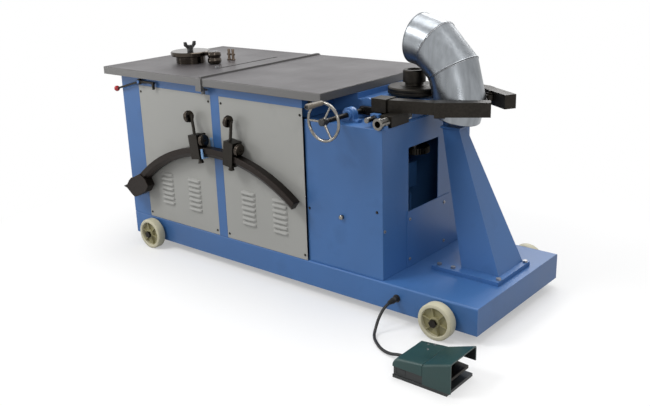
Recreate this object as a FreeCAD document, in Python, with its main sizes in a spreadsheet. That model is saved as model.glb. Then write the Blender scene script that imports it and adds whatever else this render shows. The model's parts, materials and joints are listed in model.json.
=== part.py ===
import FreeCAD, Part
import math
import os
import re
import Sketcher
from FreeCAD import Rotation, Vector

# Elbow making machine, a free-standing machine on four wheels, in millimetres.
# +X runs along the machine to the elbow station, -Y faces the user, +Z is up.
# The origin is on the floor, below the centre of the whole machine without its foot switch.

doc = FreeCAD.newDocument("ElbowMachine")

SIZES = {
    # Base tray and wheels
    "base_length": 2000,
    "base_depth": 680,
    "base_height": 112,
    "base_wall": 6,
    "base_edge_radius": 8,
    "floor_gap": 42,
    "wheel_radius": 75,
    "wheel_width": 43,
    "wheel_gap": 10,
    "wheel_edge": 5,
    "wheel_rim": 15,
    "wheel_web": 12,
    "wheel_hub_radius": 22,
    "wheel_rib": 5,
    "wheel_rib_drop": 5,
    "wheel_inset_right": 157,
    "wheel_inset_left": 162,
    "axle_radius": 10,
    "axle_nut_radius": 17,
    "axle_nut_height": 10,
    "fit": 0.05,
    # Cabinet
    "cabinet_height": 707,
    "post_depth": 60,
    "left_post_width": 127,
    "mid_post_width": 54,
    "mid_post_offset": 628,
    "rail_height": 42,
    "sheet": 2,
    "panel_gap": 0.4,
    "louvre_length": 84,
    "louvre_pitch": 24,
    "louvre_rise": 6,
    "louvre_height": 11,
    "louvre_first": 94,
    # Tables
    "table_thickness": 36,
    "table_left_overhang": 88,
    "table_front_overhang": 35,
    "table_back_overhang": 95,
    "table_right": 700,
    "table_chamfer": 2,
    "joint_offset": 600,
    "joint_gap": 15,
    "strip_rise": 7,
    "strip_overrun": 12,
    "strip_end_radius": 11,
    "strip_clearance": 0.3,
    "bracket_thickness": 6,
    "bracket_height": 58,
    "bracket_width": 36,
    "bracket_leg": 40,
    "bracket_knob_radius": 9,
    "bracket_knob": 14,
    "slot_offset": 478,
    "slot_start": 187,
    "slot_end": 610,
    "slot_width": 13,
    # Drive housing, deck and right end
    "housing_setback": 436,
    "housing_length": 392,
    "housing_inset": 10,
    "housing_drop": 88,
    "housing_wall": 4,
    "window_front": 190,
    "window_back": 410,
    "window_bottom": 246,
    "window_top": 513,
    "cover_front": 178,
    "cover_back": 500,
    "cover_thickness": 3,
    "deck_setback": 447,
    "deck_front": 206,
    "deck_height": 62,
    "mirror_offset": 377,
    # Closing station
    "closing_x": 550,
    "closing_y": 400,
    "flange_radius": 111,
    "flange_step": 5,
    "flange_thickness": 33,
    "flange_gap": 8,
    "neck_radius": 39,
    "neck_height": 16,
    "roll_radius": 48,
    "roll_height": 51,
    "roll_recess_radius": 30,
    "roll_recess": 8,
    "roll_edge": 4,
    "spindle_radius": 18,
    "spindle_end": 9,
    "gear_teeth": 32,
    "pinion_teeth": 16,
    "gear_module": 4,
    "gear_thickness": 26,
    "gear_rise": 44,
    "gear_backlash": 0.5,
    "pinion_shaft_radius": 10,
    # Elbow and inner roll
    "elbow_x": 318,
    "elbow_y": 377,
    "seam_rise": 7,
    "elbow_radius": 106,
    "elbow_wall": 1.2,
    "bend_radius": 242,
    "gore_angle": 30,
    "mouth_angle": 20.5,
    "foot_angle": 16.6,
    "bend_direction": 177,
    "bead_rise": 2.5,
    "bead_width": 3,
    "inner_roll_radius": 45,
    "inner_roll_height": 22,
    "inner_crown": 4,
    "inner_gap": 0.3,
    "inner_shaft_radius": 12,
    "bearing_radius": 17,
    # Column
    "column_foot_left": 233,
    "column_foot_right": 63,
    "column_foot_front": 275,
    "column_foot_back": 480,
    "column_top_left": 378,
    "column_top_right": 300,
    "column_top_front": 347,
    "column_top_back": 403,
    "column_drop": 117,
    "foot_thickness": 18,
    "foot_left": 346,
    "foot_right": 38,
    "foot_front": 225,
    "foot_back": 496,
    "head_thickness": 8,
    "head_rim": 6,
    "bolt_radius": 6,
    "bolt_head": 8,
    # Arms and carriages
    "arm_rise": 94,
    "bar_x": 487,
    "bar_y": 121,
    "bar_length": 188,
    "bar_width": 46,
    "bar_height": 48,
    "bar_angle": 13.5,
    "outer_x": 304,
    "outer_y": 165,
    "outer_length": 213,
    "outer_width": 50,
    "outer_height": 57,
    "outer_angle": 31.5,
    "clamp_length": 42,
    "clamp_proud": 3,
    "guide_roller_radius": 25,
    "guide_roller_height": 20,
    "guide_roller_reach": 111,
    "fork_plate": 5,
    "fork_rim": 7,
    "pin_radius": 6,
    "pin_head": 9,
    "lug_offset": 37,
    "carriage_front": 60,
    "carriage_back": 178,
    "carriage_left": 480,
    "carriage_right": 427,
    "carriage_shoulder": 489,
    "carriage_rise": 3,
    "carriage_lift": 2,
    "head_front": 108,
    "head_left": 559,
    "head_lap": 3,
    "nut_front": 158,
    "nut_left": 654,
    "nut_drop": 6,
    "tube_x": 450,
    "tube_radius": 19,
    "tube_bore": 13,
    "tube_rise": 24,
    "tie_rise": 30,
    "tube_collar_radius": 23,
    "tube_collar": 10,
    "tie_x": 511,
    "tie_radius": 11,
    "saddle_width": 50,
    "saddle_depth": 24,
    "saddle_height": 14,
    "tie_lug_wall": 9,
    "tie_lug_front": 64,
    "tie_lug_depth": 20,
    # Lead screw and handwheel
    "screw_x": 640,
    "screw_rise": 29,
    "screw_radius": 10,
    "block_front": 62,
    "block_radius": 29,
    "block_depth": 30,
    "block_feet": 100,
    "block_foot": 12,
    "block_boss_radius": 20,
    "block_boss": 8,
    "bearing_plate_radius": 46,
    "bearing_plate_feet": 152,
    "bearing_plate": 16,
    "handwheel_reach": 90,
    "handwheel_radius": 75,
    "handwheel_rim": 6,
    "handwheel_hub": 16,
    "handwheel_hub_length": 36,
    "spoke_radius": 4,
    "spoke_count": 3,
    "handle_reach": 190,
    "grip_radius": 12,
    "grip_tip": 3,
    "grip_pin_radius": 4,
    "grip_gap": 0.4,
    "screw_nut_radius": 16,
    "screw_nut_length": 10,
    # Left forming station
    "disc_x": 210,
    "disc_y": 272,
    "disc_radius": 97,
    "disc_thickness": 22,
    "disc_edge": 4,
    "disc_body_radius": 72,
    "disc_body_height": 35,
    "disc_lift": 0.4,
    "disc_spindle_radius": 20,
    "disc_spindle_drop": 90,
    "wing_collar_radius": 15,
    "wing_collar_height": 10,
    "wing_reach": 34,
    "wing_width": 12,
    "wing_thickness": 9,
    "wing_root": 15,
    "wing_height": 34,
    "wing_angle": 85,
    "roller_x": 354,
    "roller_y": 297,
    "roller_radius": 33,
    "roller_height": 60,
    "roller_edge": 8,
    "roller_pin_radius": 11,
    "slide_travel": 13,
    "slide_length": 60,
    "slide_width": 50,
    "slide_height": 22,
    "slide_slot": 24,
    "clamp_x": 341,
    "clamp_y": 422,
    "clamp_span": 50,
    "clamp_height": 55,
    "clamp_post": 7,
    "clamp_foot": 11,
    "clamp_bar": 8,
    "slot_pin_radius": 5.9,
    "slot_pin_head": 9,
    "slot_pin_rise": 12,
    # Control lever
    "lever_x": 157,
    "lever_drop": 21,
    "lever_pin_radius": 8,
    "lever_hub_radius": 14,
    "lever_hub_width": 16,
    "lever_gap": 6,
    "lever_reach": 190,
    "lever_angle": 15.3,
    "lever_rod_radius": 5,
    "lever_ball_radius": 14,
    "finger_reach": 103,
    "finger_drop": 30,
    "finger_width": 12,
    # Curved guide and its carriers
    "arc_x": 673,
    "arc_drop": 210,
    "arc_outer": 799,
    "arc_inner": 755,
    "arc_front": 60,
    "arc_back": 20,
    "arc_start": 52.5,
    "arc_sweep": 84.1,
    "end_block_start": 132.5,
    "end_block": 132,
    "end_block_inner": 716,
    "end_block_outer": 846,
    "end_block_chamfer": 45,
    "end_tip": 34,
    "end_tip_radius": 22,
    "hook_angle": 93.8,
    "hook_width": 12,
    "hook_metal": 4,
    "left_carrier_angle": 97.3,
    "right_carrier_angle": 81.7,
    "carrier_gap": 0.5,
    "carrier_wall": 8,
    "carrier_width": 56,
    "carrier_head": 59,
    "carrier_rod_radius": 7,
    "carrier_rod_length": 81,
    "carrier_rod_offset": 14,
    "top_roller_radius": 27,
    "top_roller_width": 18,
    "side_roller_radius": 28,
    "side_roller_width": 18,
    "side_roller_rise": 29,
    "small_roller_edge": 4,
    "roller_stub_radius": 6,
    "roller_stub_gap": 4,
    "lock_knob_radius": 14,
    "lock_knob_length": 24,
    # Small fittings
    "latch_x": 640,
    "latch_z": 387,
    "latch_radius": 10,
    "latch_length": 14,
    "gland_x": 363,
    "gland_z": 102,
    "gland_radius": 12,
    "gland_length": 26,
    "cord_radius": 6,
    # Motor and gearbox
    "motor_radius": 62,
    "motor_height": 262,
    "motor_foot_radius": 78,
    "motor_foot": 14,
    "fin_count": 12,
    "fin_width": 5,
    "fin_rise": 7,
    "gearbox_width": 120,
    "gearbox_depth": 150,
    "gearbox_height": 110,
    "gearbox_neck_radius": 34,
    "gearbox_neck": 20,
    # Foot switch
    "pedal_left": 112,
    "pedal_right": 94,
    "pedal_front": 366,
    "pedal_back": 194,
    "pedal_plate": 12,
    "pedal_box_left_height": 60,
    "pedal_bevel": 14,
    "pedal_bevel_height": 77,
    "pedal_kink_height": 88,
    "pedal_kink": 107,
    "pedal_hood_height": 126,
    "pedal_hood_overhang": 13,
    "pedal_notch_height": 68,
    "pedal_notch_start": 36,
    "pedal_wall": 5,
    "pedal_side": 7,
    "treadle_length": 88,
    "treadle_gap": 2,
    "treadle_pin_radius": 4,
    "treadle_pin_height": 40,
    "treadle_pin_setback": 16,
    "switch_gland_radius": 9,
    "switch_gland_length": 16,
    "switch_gland_height": 22,
    "switch_gland_y": 250,
}

PLACES = {
    # Base corner, and levels above the floor
    "right": "(base_length + table_left_overhang) / 2",
    "left": "right - base_length",
    "table_back": "base_depth + table_back_overhang",
    "front": "(handle_reach - table_back - strip_overrun) / 2",
    "base_top": "floor_gap + base_height",
    "table_bottom": "base_top + cabinet_height",
    "table_top": "table_bottom + table_thickness",
    "rail_bottom": "table_bottom - rail_height",
    "housing_top": "table_bottom - housing_drop",
    "housing_height": "housing_top - base_top",
    "deck_top": "housing_top + deck_height",
    # Cabinet and table stations along X
    "mid_post": "left + mid_post_offset",
    "housing_right": "right - housing_setback",
    "housing_left": "housing_right - housing_length",
    "table_left": "left - table_left_overhang",
    "joint": "left + joint_offset",
    # Closing station, screw and elbow
    "closing_axis_x": "right - closing_x",
    "closing_axis_y": "front + closing_y",
    "flange_bottom": "deck_top + flange_gap",
    "gearbox_bottom": "base_top + motor_height",
    "gearbox_top": "gearbox_bottom + gearbox_height",
    "gear_level": "gearbox_top + gearbox_neck + gear_rise",
    "spindle_drop": "flange_bottom - gear_level + spindle_end",
    "seam_height": "deck_top + seam_rise",
    "gear_pitch": "gear_module * gear_teeth / 2",
    "pinion_pitch": "gear_module * pinion_teeth / 2",
    "pinion_axis_x": "closing_axis_x - gear_pitch - pinion_pitch - gear_backlash",
    "elbow_axis_x": "right - elbow_x",
    "elbow_axis_y": "front + elbow_y",
    "inner_offset": "elbow_radius - elbow_wall - inner_gap - inner_roll_radius",
    "closing_distance": "sqrt((closing_x - elbow_x) ^ 2 + (closing_y - elbow_y) ^ 2)",
    "inner_axis_x": "elbow_axis_x - inner_offset * (closing_x - elbow_x) / closing_distance",
    "inner_axis_y": "elbow_axis_y + inner_offset * (closing_y - elbow_y) / closing_distance",
    "column_top": "seam_height - column_drop",
    "column_height": "column_top - base_top - foot_thickness",
    "inner_roll_bottom": "seam_height - inner_roll_height / 2",
    "mirror_y": "front + mirror_offset",
    "arm_top": "housing_top + arm_rise",
    "tube_height": "housing_top + tube_rise",
    "tie_height": "housing_top + tie_rise",
    "screw_height": "housing_top + screw_rise",
    "screw_axis_x": "right - screw_x",
    "guide_reach": "guide_roller_reach + guide_roller_radius",
    "front_roller_x": "elbow_axis_x + guide_reach * sin(outer_angle)",
    "front_roller_y": "elbow_axis_y - guide_reach * cos(outer_angle)",
    "back_roller_y": "2 * mirror_y - front_roller_y",
    "handwheel_y": "front - handwheel_reach",
    # Left station, lever and curved guide
    "disc_axis_x": "left + disc_x",
    "disc_axis_y": "front + disc_y",
    "disc_bottom": "table_top + disc_lift",
    "disc_top": "disc_bottom + disc_body_height + disc_thickness",
    "roller_axis_x": "left + roller_x",
    "roller_axis_y": "front + roller_y",
    "slot_x": "left + slot_offset",
    "lever_axis_x": "left + lever_x",
    "lever_axis_z": "table_bottom - lever_drop",
    "arc_axis_x": "left + arc_x",
    "carrier_top": "arc_outer + carrier_head",
    "carrier_depth": "arc_front - arc_back",
    # Foot switch
    "pedal_x": "right - pedal_left",
    "pedal_y": "front - pedal_front",
    "pedal_length": "pedal_left + pedal_right",
    "pedal_width": "pedal_front - pedal_back",
}

OWNERS = {**{name: "Sizes." for name in SIZES}, **{name: "Places." for name in PLACES}}


def formula(text):
    """The text as an expression, with each size and place named in full."""
    return re.sub(r"[A-Za-z_]\w*", lambda word: OWNERS.get(word.group(), "") + word.group(), str(text))


def make_sizes():
    """The sheet of driving sizes."""
    sheet = doc.addObject("Spreadsheet::Sheet", "Sizes")
    for row, (name, number) in enumerate(SIZES.items(), start=1):
        sheet.set(f"A{row}", name)
        sheet.set(f"B{row}", str(number))
        sheet.setAlias(f"B{row}", name)
    doc.recompute()
    return sheet


def make_places():
    """The places that follow from the sizes."""
    places = doc.addObject("App::VarSet", "Places")
    for name, text in PLACES.items():
        places.addProperty("App::PropertyFloat", name, "Places", "")
        places.setExpression(name, formula(text))
    doc.recompute()
    return places


make_sizes()
PLACE_SET = make_places()
NODES = []


def value(text):
    """What a formula comes to now."""
    return float(PLACE_SET.evalExpression(formula(text)))


AIMS = {
    "Z": Rotation(),
    "X": Rotation(Vector(0, 0, 1), Vector(1, 0, 0)),
    "Y": Rotation(Vector(1, 0, 0), -90),
    "-Y": Rotation(Vector(1, 0, 0), 90),
    "-X": Rotation(Vector(0, 1, 0), -90),
}


def move(thing, x=0, y=0, z=0, aim="Z"):
    """Put a piece's own origin at a place, with its own +Z aimed along an axis."""
    thing.Placement.Rotation = AIMS[aim]
    for letter, text in (("x", x), ("y", y), ("z", z)):
        thing.setExpression("Placement.Base." + letter, formula(text))
    return thing


def swing(label, thing, angle, axis=(0, 0, 1)):
    """A piece turned about an axis through its own origin."""
    turned_piece = doc.addObject("Part::Compound", label)
    turned_piece.Links = [thing]
    turned_piece.Placement.Rotation = Rotation(Vector(*axis), value(angle))
    turned_piece.setExpression("Placement.Rotation.Angle", formula(angle))
    return turned_piece


def node(thing, name):
    """Name a finished piece, which becomes a file of that name."""
    thing.Label = name
    NODES.append(thing)
    return thing


def box(label, length, width, height, x=0, y=0, z=0):
    piece = doc.addObject("Part::Box", label)
    for side, text in (("Length", length), ("Width", width), ("Height", height)):
        piece.setExpression(side, formula(text))
    return move(piece, x, y, z)


def rod(label, radius, length, x=0, y=0, z=0, aim="Z"):
    piece = doc.addObject("Part::Cylinder", label)
    piece.setExpression("Radius", formula(radius))
    piece.setExpression("Height", formula(length))
    return move(piece, x, y, z, aim)


def cone(label, radius, end_radius, length, x=0, y=0, z=0, aim="Z"):
    piece = doc.addObject("Part::Cone", label)
    piece.setExpression("Radius1", formula(radius))
    piece.setExpression("Radius2", formula(end_radius))
    piece.setExpression("Height", formula(length))
    return move(piece, x, y, z, aim)


def join(label, *pieces):
    """Pieces welded or cast as one solid."""
    piece = doc.addObject("Part::MultiFuse", label)
    piece.Shapes = list(pieces)
    piece.Refine = True
    return piece


def cut(label, base, *tools):
    piece = doc.addObject("Part::Cut", label)
    piece.Base = base
    piece.Tool = tools[0] if len(tools) == 1 else join(label + "_tools", *tools)
    return piece


def shared(label, first, second):
    piece = doc.addObject("Part::Common", label)
    piece.Base = first
    piece.Tool = second
    return piece


def group(label, *pieces):
    """Separate solids kept in one node."""
    piece = doc.addObject("Part::Compound", label)
    piece.Links = list(pieces)
    return piece


def mirrored(label, source):
    """The same piece on the other side of the elbow."""
    piece = doc.addObject("Part::Mirroring", label)
    piece.Source = source
    piece.Normal = Vector(0, 1, 0)
    piece.setExpression("Base.y", formula("mirror_y"))
    return piece


def new_body(label):
    body = doc.addObject("PartDesign::Body", label)
    body.Label = label
    return body


def sketch_on(body, role, lift=0):
    """A sketch on one of the body's own planes, or lifted from it."""
    plane = next(item for item in body.Origin.OriginFeatures if item.Role == role)
    sketch = body.newObject("Sketcher::SketchObject", body.Label + "_sketch")
    sketch.AttachmentSupport = [(plane, "")]
    sketch.MapMode = "FlatFace"
    sketch.setExpression("AttachmentOffset.Base.z", formula(lift))
    return sketch


def pin_point(sketch, shape, end, x, y):
    """Hold a point of a sketch at a place from the sketch's origin."""
    for kind, text in (("DistanceX", x), ("DistanceY", y)):
        index = sketch.addConstraint(Sketcher.Constraint(kind, shape, end, value(text)))
        sketch.setExpression(f"Constraints[{index}]", formula(text))


def polygon(sketch, points):
    """A closed outline of straight sides through the points."""
    corners = [Vector(value(x), value(y), 0) for x, y in points]
    first = len(sketch.Geometry)
    count = len(points)
    for index, corner in enumerate(corners):
        sketch.addGeometry(Part.LineSegment(corner, corners[(index + 1) % count]))
    for index in range(count):
        after = first + (index + 1) % count
        sketch.addConstraint(Sketcher.Constraint("Coincident", first + index, 2, after, 1))
    for index, (x, y) in enumerate(points):
        pin_point(sketch, first + index, 1, x, y)
    return sketch


def rectangle(sketch, low_x, low_y, high_x, high_y):
    corners = [(low_x, low_y), (high_x, low_y), (high_x, high_y), (low_x, high_y)]
    return polygon(sketch, corners)


def circle(sketch, x, y, radius):
    centre = Vector(value(x), value(y), 0)
    index = sketch.addGeometry(Part.Circle(centre, Vector(0, 0, 1), value(radius)))
    pin_point(sketch, index, 3, x, y)
    limit = sketch.addConstraint(Sketcher.Constraint("Radius", index, value(radius)))
    sketch.setExpression(f"Constraints[{limit}]", formula(radius))
    return sketch


def pad(body, sketch, length, middle=False, backwards=False):
    feature = body.newObject("PartDesign::Pad", body.Label + "_pad")
    feature.Profile = sketch
    feature.setExpression("Length", formula(length))
    feature.Midplane = middle
    feature.Reversed = backwards
    return feature


def pocket(body, sketch, depth=None, backwards=False):
    """Cut a sketch into a body, right through both ways where no depth is given."""
    doc.recompute()
    before = body.Shape.Volume
    feature = body.newObject("PartDesign::Pocket", body.Label + "_pocket")
    feature.Profile = sketch
    feature.Reversed = backwards
    if depth is None:
        feature.Type = "ThroughAll"
        feature.Midplane = True
    else:
        feature.setExpression("Length", formula(depth))
    doc.recompute()
    if body.Shape.Volume > before - 1:
        raise ValueError(body.Label + ": a pocket cuts nothing")
    return feature


def revolve(body, sketch):
    feature = body.newObject("PartDesign::Revolution", body.Label + "_revolve")
    feature.Profile = sketch
    feature.ReferenceAxis = (sketch, ["V_Axis"])
    feature.Angle = 360
    return feature


def polar(body, feature, sketch, count):
    """Repeat a feature evenly round the body's own Z axis."""
    pattern = body.newObject("PartDesign::PolarPattern", body.Label + "_polar")
    pattern.Originals = [feature]
    pattern.Axis = (sketch, ["N_Axis"])
    pattern.Angle = 360
    pattern.setExpression("Occurrences", formula(count))
    body.Tip = pattern
    return pattern


def turned(label, profile, x=0, y=0, z=0, aim="Z"):
    """A lathe-turned piece from a half section of (radius, height) points."""
    body = new_body(label)
    revolve(body, polygon(sketch_on(body, "XZ_Plane"), profile))
    return move(body, x, y, z, aim)


def round_section(reach, radius, start=0, stop=8):
    """Corners of an eight-sided round section, whose centre is at a distance from the axis."""
    corners = range(start, stop)
    return [
        (f"{reach} + {radius} * cos({22.5 + 45 * index})", f"{radius} * sin({22.5 + 45 * index})")
        for index in corners
    ]


def sector(label, inner, outer, start, sweep, height, lift=0):
    """Part of a ring about its own Z axis."""
    disc = rod(label + "_disc", outer, height, z=lift)
    hole = rod(label + "_hole", inner, height, z=lift)
    for piece in (disc, hole):
        piece.setExpression("Angle", formula(sweep))
        piece.Placement.Rotation = Rotation(Vector(0, 0, 1), value(start))
        piece.setExpression("Placement.Rotation.Angle", formula(start))
    return cut(label, disc, hole)


def long_top_edges(shape, height, length):
    """Names of the edges that run the whole length of a solid along X at its top."""
    names = []
    for index, edge in enumerate(shape.Edges, start=1):
        bounds = edge.BoundBox
        if bounds.ZMin > height - 0.01 and bounds.XLength > length - 0.01:
            names.append(f"Edge{index}")
    return names


def base_frame():
    """Pressed steel tray, open below, with bores for the two axles."""
    body = new_body("base_frame")
    outline = rectangle(sketch_on(body, "XY_Plane"), "left", "0", "right", "base_depth")
    block = pad(body, outline, "base_height")
    doc.recompute()
    edges = long_top_edges(block.Shape, value("base_height"), value("base_length"))
    rounding = body.newObject("PartDesign::Fillet", "base_edges")
    rounding.Base = (block, edges)
    rounding.setExpression("Radius", formula("base_edge_radius"))
    inside = rectangle(sketch_on(body, "XY_Plane"), "left + base_wall", "base_wall",
                       "right - base_wall", "base_depth - base_wall")
    pocket(body, inside, "base_height - base_wall", backwards=True)
    bores = sketch_on(body, "XZ_Plane")
    for x in ("right - wheel_inset_right", "left + wheel_inset_left"):
        circle(bores, x, "wheel_radius - floor_gap", "axle_radius + fit")
    pocket(body, bores)
    node(move(body, 0, "front", "floor_gap"), "base_frame")


def wheel_axles():
    """Two axles through the tray, each with a nut on both ends."""
    overhang = "(wheel_gap + wheel_width + wheel_gap / 4)"
    solids = []
    for x in ("right - wheel_inset_right", "left + wheel_inset_left"):
        shaft = rod("axle", "axle_radius", f"base_depth + 2 * {overhang}",
                    x, f"front - {overhang}", "wheel_radius", "Y")
        collars = [
            rod("collar", "axle_nut_radius", "wheel_gap - 0.5", x, place, "wheel_radius", "Y")
            for place in ("front - wheel_gap + 0.5", "front + base_depth")
        ]
        nuts = [
            hexagon("axle_nut", "axle_nut_radius", "axle_nut_height", x, place, "wheel_radius", aim)
            for place, aim in ((f"front - {overhang}", "-Y"), (f"front + base_depth + {overhang}", "Y"))
        ]
        solids.append(join("axle_set", shaft, *collars, *nuts))
    node(group("axles", *solids), "wheel_axles")


def hexagon(label, radius, length, x=0, y=0, z=0, aim="Z"):
    """A six-sided nut or bolt head."""
    piece = doc.addObject("Part::Prism", label)
    piece.Polygon = 6
    piece.setExpression("Circumradius", formula(radius))
    piece.setExpression("Height", formula(length))
    return move(piece, x, y, z, aim)


def wheel(name, x, y, aim):
    """Moulded wheel with a ribbed web between hub and tread."""
    half = "wheel_width / 2"
    web = "wheel_web / 2"
    tread = "(wheel_radius - wheel_rim)"
    body = new_body(name)
    profile = [
        ("axle_radius + fit", f"-{half}"), ("wheel_hub_radius", f"-{half}"),
        ("wheel_hub_radius", f"-{web}"), (tread, f"-{web}"),
        (tread, f"-{half}"), ("wheel_radius - wheel_edge", f"-{half}"),
        ("wheel_radius", f"-{half} + wheel_edge"), ("wheel_radius", f"{half} - wheel_edge"),
        ("wheel_radius - wheel_edge", half), (tread, half),
        (tread, web), ("wheel_hub_radius", web),
        ("wheel_hub_radius", half), ("axle_radius + fit", half),
    ]
    revolve(body, polygon(sketch_on(body, "XZ_Plane"), profile))
    rib = rectangle(sketch_on(body, "XY_Plane"), "wheel_hub_radius - 1", "-wheel_rib / 2",
                    f"{tread} + 1", "wheel_rib / 2")
    feature = pad(body, rib, "wheel_width - 2 * wheel_rib_drop", middle=True)
    polar(body, feature, rib, "6")
    node(move(body, x, y, "wheel_radius", aim), name)


def wheels():
    reach = "(wheel_gap + wheel_width / 2)"
    for side, x in (("left", "left + wheel_inset_left"), ("right", "right - wheel_inset_right")):
        wheel(f"wheel_front_{side}", x, f"front - {reach}", "Y")
        wheel(f"wheel_back_{side}", x, f"front + base_depth + {reach}", "Y")


def cabinet_frame():
    """Posts and top rails of the cabinet, with the pivot pin of the control lever."""
    post_height = "rail_bottom - base_top"
    back_row = "front + base_depth - post_depth"
    solids = []
    for x, width in (("left", "left_post_width"), ("mid_post", "mid_post_width")):
        for y in ("front", back_row):
            solids.append(box("post", width, "post_depth", post_height, x, y, "base_top"))
    for y in ("front", back_row):
        solids.append(box("rail", "housing_left - left", "post_depth", "rail_height",
                          "left", y, "rail_bottom"))
    solids.append(box("end_rail", "post_depth", "base_depth - 2 * post_depth", "rail_height",
                      "left", "front + post_depth", "rail_bottom"))
    solids.append(rod("lever_pin", "lever_pin_radius", "lever_gap + lever_hub_width + 4",
                      "lever_axis_x", "front", "lever_axis_z", "-Y"))
    node(group("frame_tubes", *solids), "cabinet_frame")


def louvred_panel(name, low, high):
    """Front panel with two columns of pressed louvres, each slit open below."""
    width = f"({high} - ({low}) - 2 * panel_gap)"
    margin = f"({width} - 2 * louvre_length) / 3"
    body = new_body(name)
    outline = rectangle(sketch_on(body, "XZ_Plane"), "0", "0", width, "rail_bottom - base_top - panel_gap")
    pad(body, outline, "sheet", backwards=True)
    rows = []
    for column in (margin, f"2 * {margin} + louvre_length"):
        hood = polygon(sketch_on(body, "YZ_Plane", column), [
            ("0", "louvre_first"), ("-louvre_rise", "louvre_first"),
            ("-louvre_rise + sheet", "louvre_first + louvre_height * 0.55"),
            ("0", "louvre_first + louvre_height"),
        ])
        rows.append(pad(body, hood, "louvre_length"))
        slit = rectangle(sketch_on(body, "XZ_Plane"), f"{column} + 4", "louvre_first - 2",
                         f"{column} + louvre_length - 4", "louvre_first + 2")
        rows.append(pocket(body, slit))
    pattern = body.newObject("PartDesign::LinearPattern", name + "_rows")
    pattern.Originals = rows
    pattern.Direction = (outline, ["V_Axis"])
    pattern.Length = 6 * value("louvre_pitch")
    pattern.setExpression("Length", formula("6 * louvre_pitch"))
    pattern.Occurrences = 7
    body.Tip = pattern
    node(move(body, f"{low} + panel_gap", "front", "base_top"), name)


def panels():
    """Louvred fronts, and the plain sheets that close the back and the left end."""
    bays = (("left + left_post_width", "mid_post"), ("mid_post + mid_post_width", "housing_left"))
    louvred_panel("front_panel_left", *bays[0])
    louvred_panel("front_panel_right", *bays[1])
    height = "rail_bottom - base_top - panel_gap"
    sheets = [
        box("back_sheet", f"{high} - ({low}) - 2 * panel_gap", "sheet", height,
            f"{low} + panel_gap", "front + base_depth - sheet", "base_top")
        for low, high in bays
    ]
    sheets.append(box("end_sheet", "sheet", "base_depth - 2 * post_depth - 2 * panel_gap", height,
                      "left", "front + post_depth + panel_gap", "base_top"))
    node(group("plain_sheets", *sheets), "cabinet_panels")


def table_plate(label, low, high):
    """One machined table plate with broken edges all round its top."""
    plate = box(label, f"{high} - ({low})", "table_back + table_front_overhang", "table_thickness",
                low, "front - table_front_overhang", "table_bottom")
    doc.recompute()
    top = value("table_top")
    chamfer = doc.addObject("Part::Chamfer", label + "_edges")
    chamfer.Base = plate
    size = value("table_chamfer")
    chamfer.Edges = [
        (index, size, size) for index, edge in enumerate(plate.Shape.Edges, start=1)
        if edge.BoundBox.ZMin > top - 0.01
    ]
    return chamfer


def tables():
    depth = "table_thickness + 2"
    bottom = "table_bottom - 1"
    left_plate = cut(
        "left_plate", table_plate("left_blank", "table_left", "joint"),
        rod("disc_bore", "disc_spindle_radius + fit", depth, "disc_axis_x", "disc_axis_y", bottom),
        box("slide_slot", "slide_slot + 2 + slide_travel", "slide_slot", depth,
            "roller_axis_x - slide_slot / 2 - slide_travel - 1", "roller_axis_y - slide_slot / 2", bottom),
        box("stop_slot", "slot_width", "slot_end - slot_start", depth,
            "slot_x - slot_width / 2", "front + slot_start", bottom),
    )
    node(left_plate, "left_table")
    node(table_plate("right_blank", "joint + joint_gap", "right - table_right"), "right_table")


def table_strip():
    """Black guide strip between the tables, its round end and the bracket at its front."""
    strip = box("strip", "joint_gap - 2 * strip_clearance",
                "table_front_overhang + table_back", "table_thickness + strip_rise",
                "joint + strip_clearance", "front - table_front_overhang", "table_bottom")
    end = rod("strip_end", "strip_end_radius", "strip_overrun", "joint + joint_gap / 2",
              "front + table_back", "table_top - strip_end_radius / 2", "Y")
    low = "table_top - bracket_height"
    face = "front - table_front_overhang - bracket_thickness"
    bracket = join(
        "edge_bracket",
        box("bracket_face", "bracket_width", "bracket_thickness", "bracket_height",
            "joint - bracket_width / 2", face, low),
        box("bracket_foot", "bracket_width", "bracket_leg", "bracket_thickness",
            "joint - bracket_width / 2", face, low),
        rod("bracket_screw", "bracket_knob_radius / 2", "bracket_height - table_thickness",
            "joint + bracket_width / 4", f"{face} + bracket_leg / 2", low),
        rod("bracket_knob", "bracket_knob_radius", "bracket_knob",
            "joint + bracket_width / 4", f"{face} + bracket_leg / 2", f"{low} - bracket_knob"),
    )
    node(group("strip_parts", strip, end, bracket), "table_strip")


def drive_housing():
    """Sheet steel box over the drive, open below, with a window in its right wall."""
    depth = "(base_depth - 2 * housing_inset)"
    shell = box("housing_shell", "housing_length", depth, "housing_height",
                "housing_left", "front + housing_inset", "base_top")
    hollow = box("housing_hollow", "housing_length - 2 * housing_wall", f"{depth} - 2 * housing_wall",
                 "housing_height - housing_wall", "housing_left + housing_wall",
                 "front + housing_inset + housing_wall", "base_top")
    window = box("housing_window", "3 * housing_wall", "window_back - window_front",
                 "window_top - window_bottom", "housing_right - 2 * housing_wall",
                 "front + window_front", "base_top + window_bottom")
    spindle_hole = rod("spindle_hole", "spindle_radius + 3", "3 * housing_wall",
                       "closing_axis_x", "closing_axis_y", "housing_top - 2 * housing_wall")
    latch_hole = rod("latch_hole", "latch_radius / 2 + fit", "3 * housing_wall", "right - latch_x",
                     "front + housing_inset - housing_wall", "latch_z", "Y")
    node(cut("housing", shell, hollow, window, spindle_hole, latch_hole), "drive_housing")
    cover = box("cover", "cover_thickness", "cover_back - cover_front", "window_bottom",
                "housing_right", "front + cover_front", "base_top")
    node(cover, "housing_cover")


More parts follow.
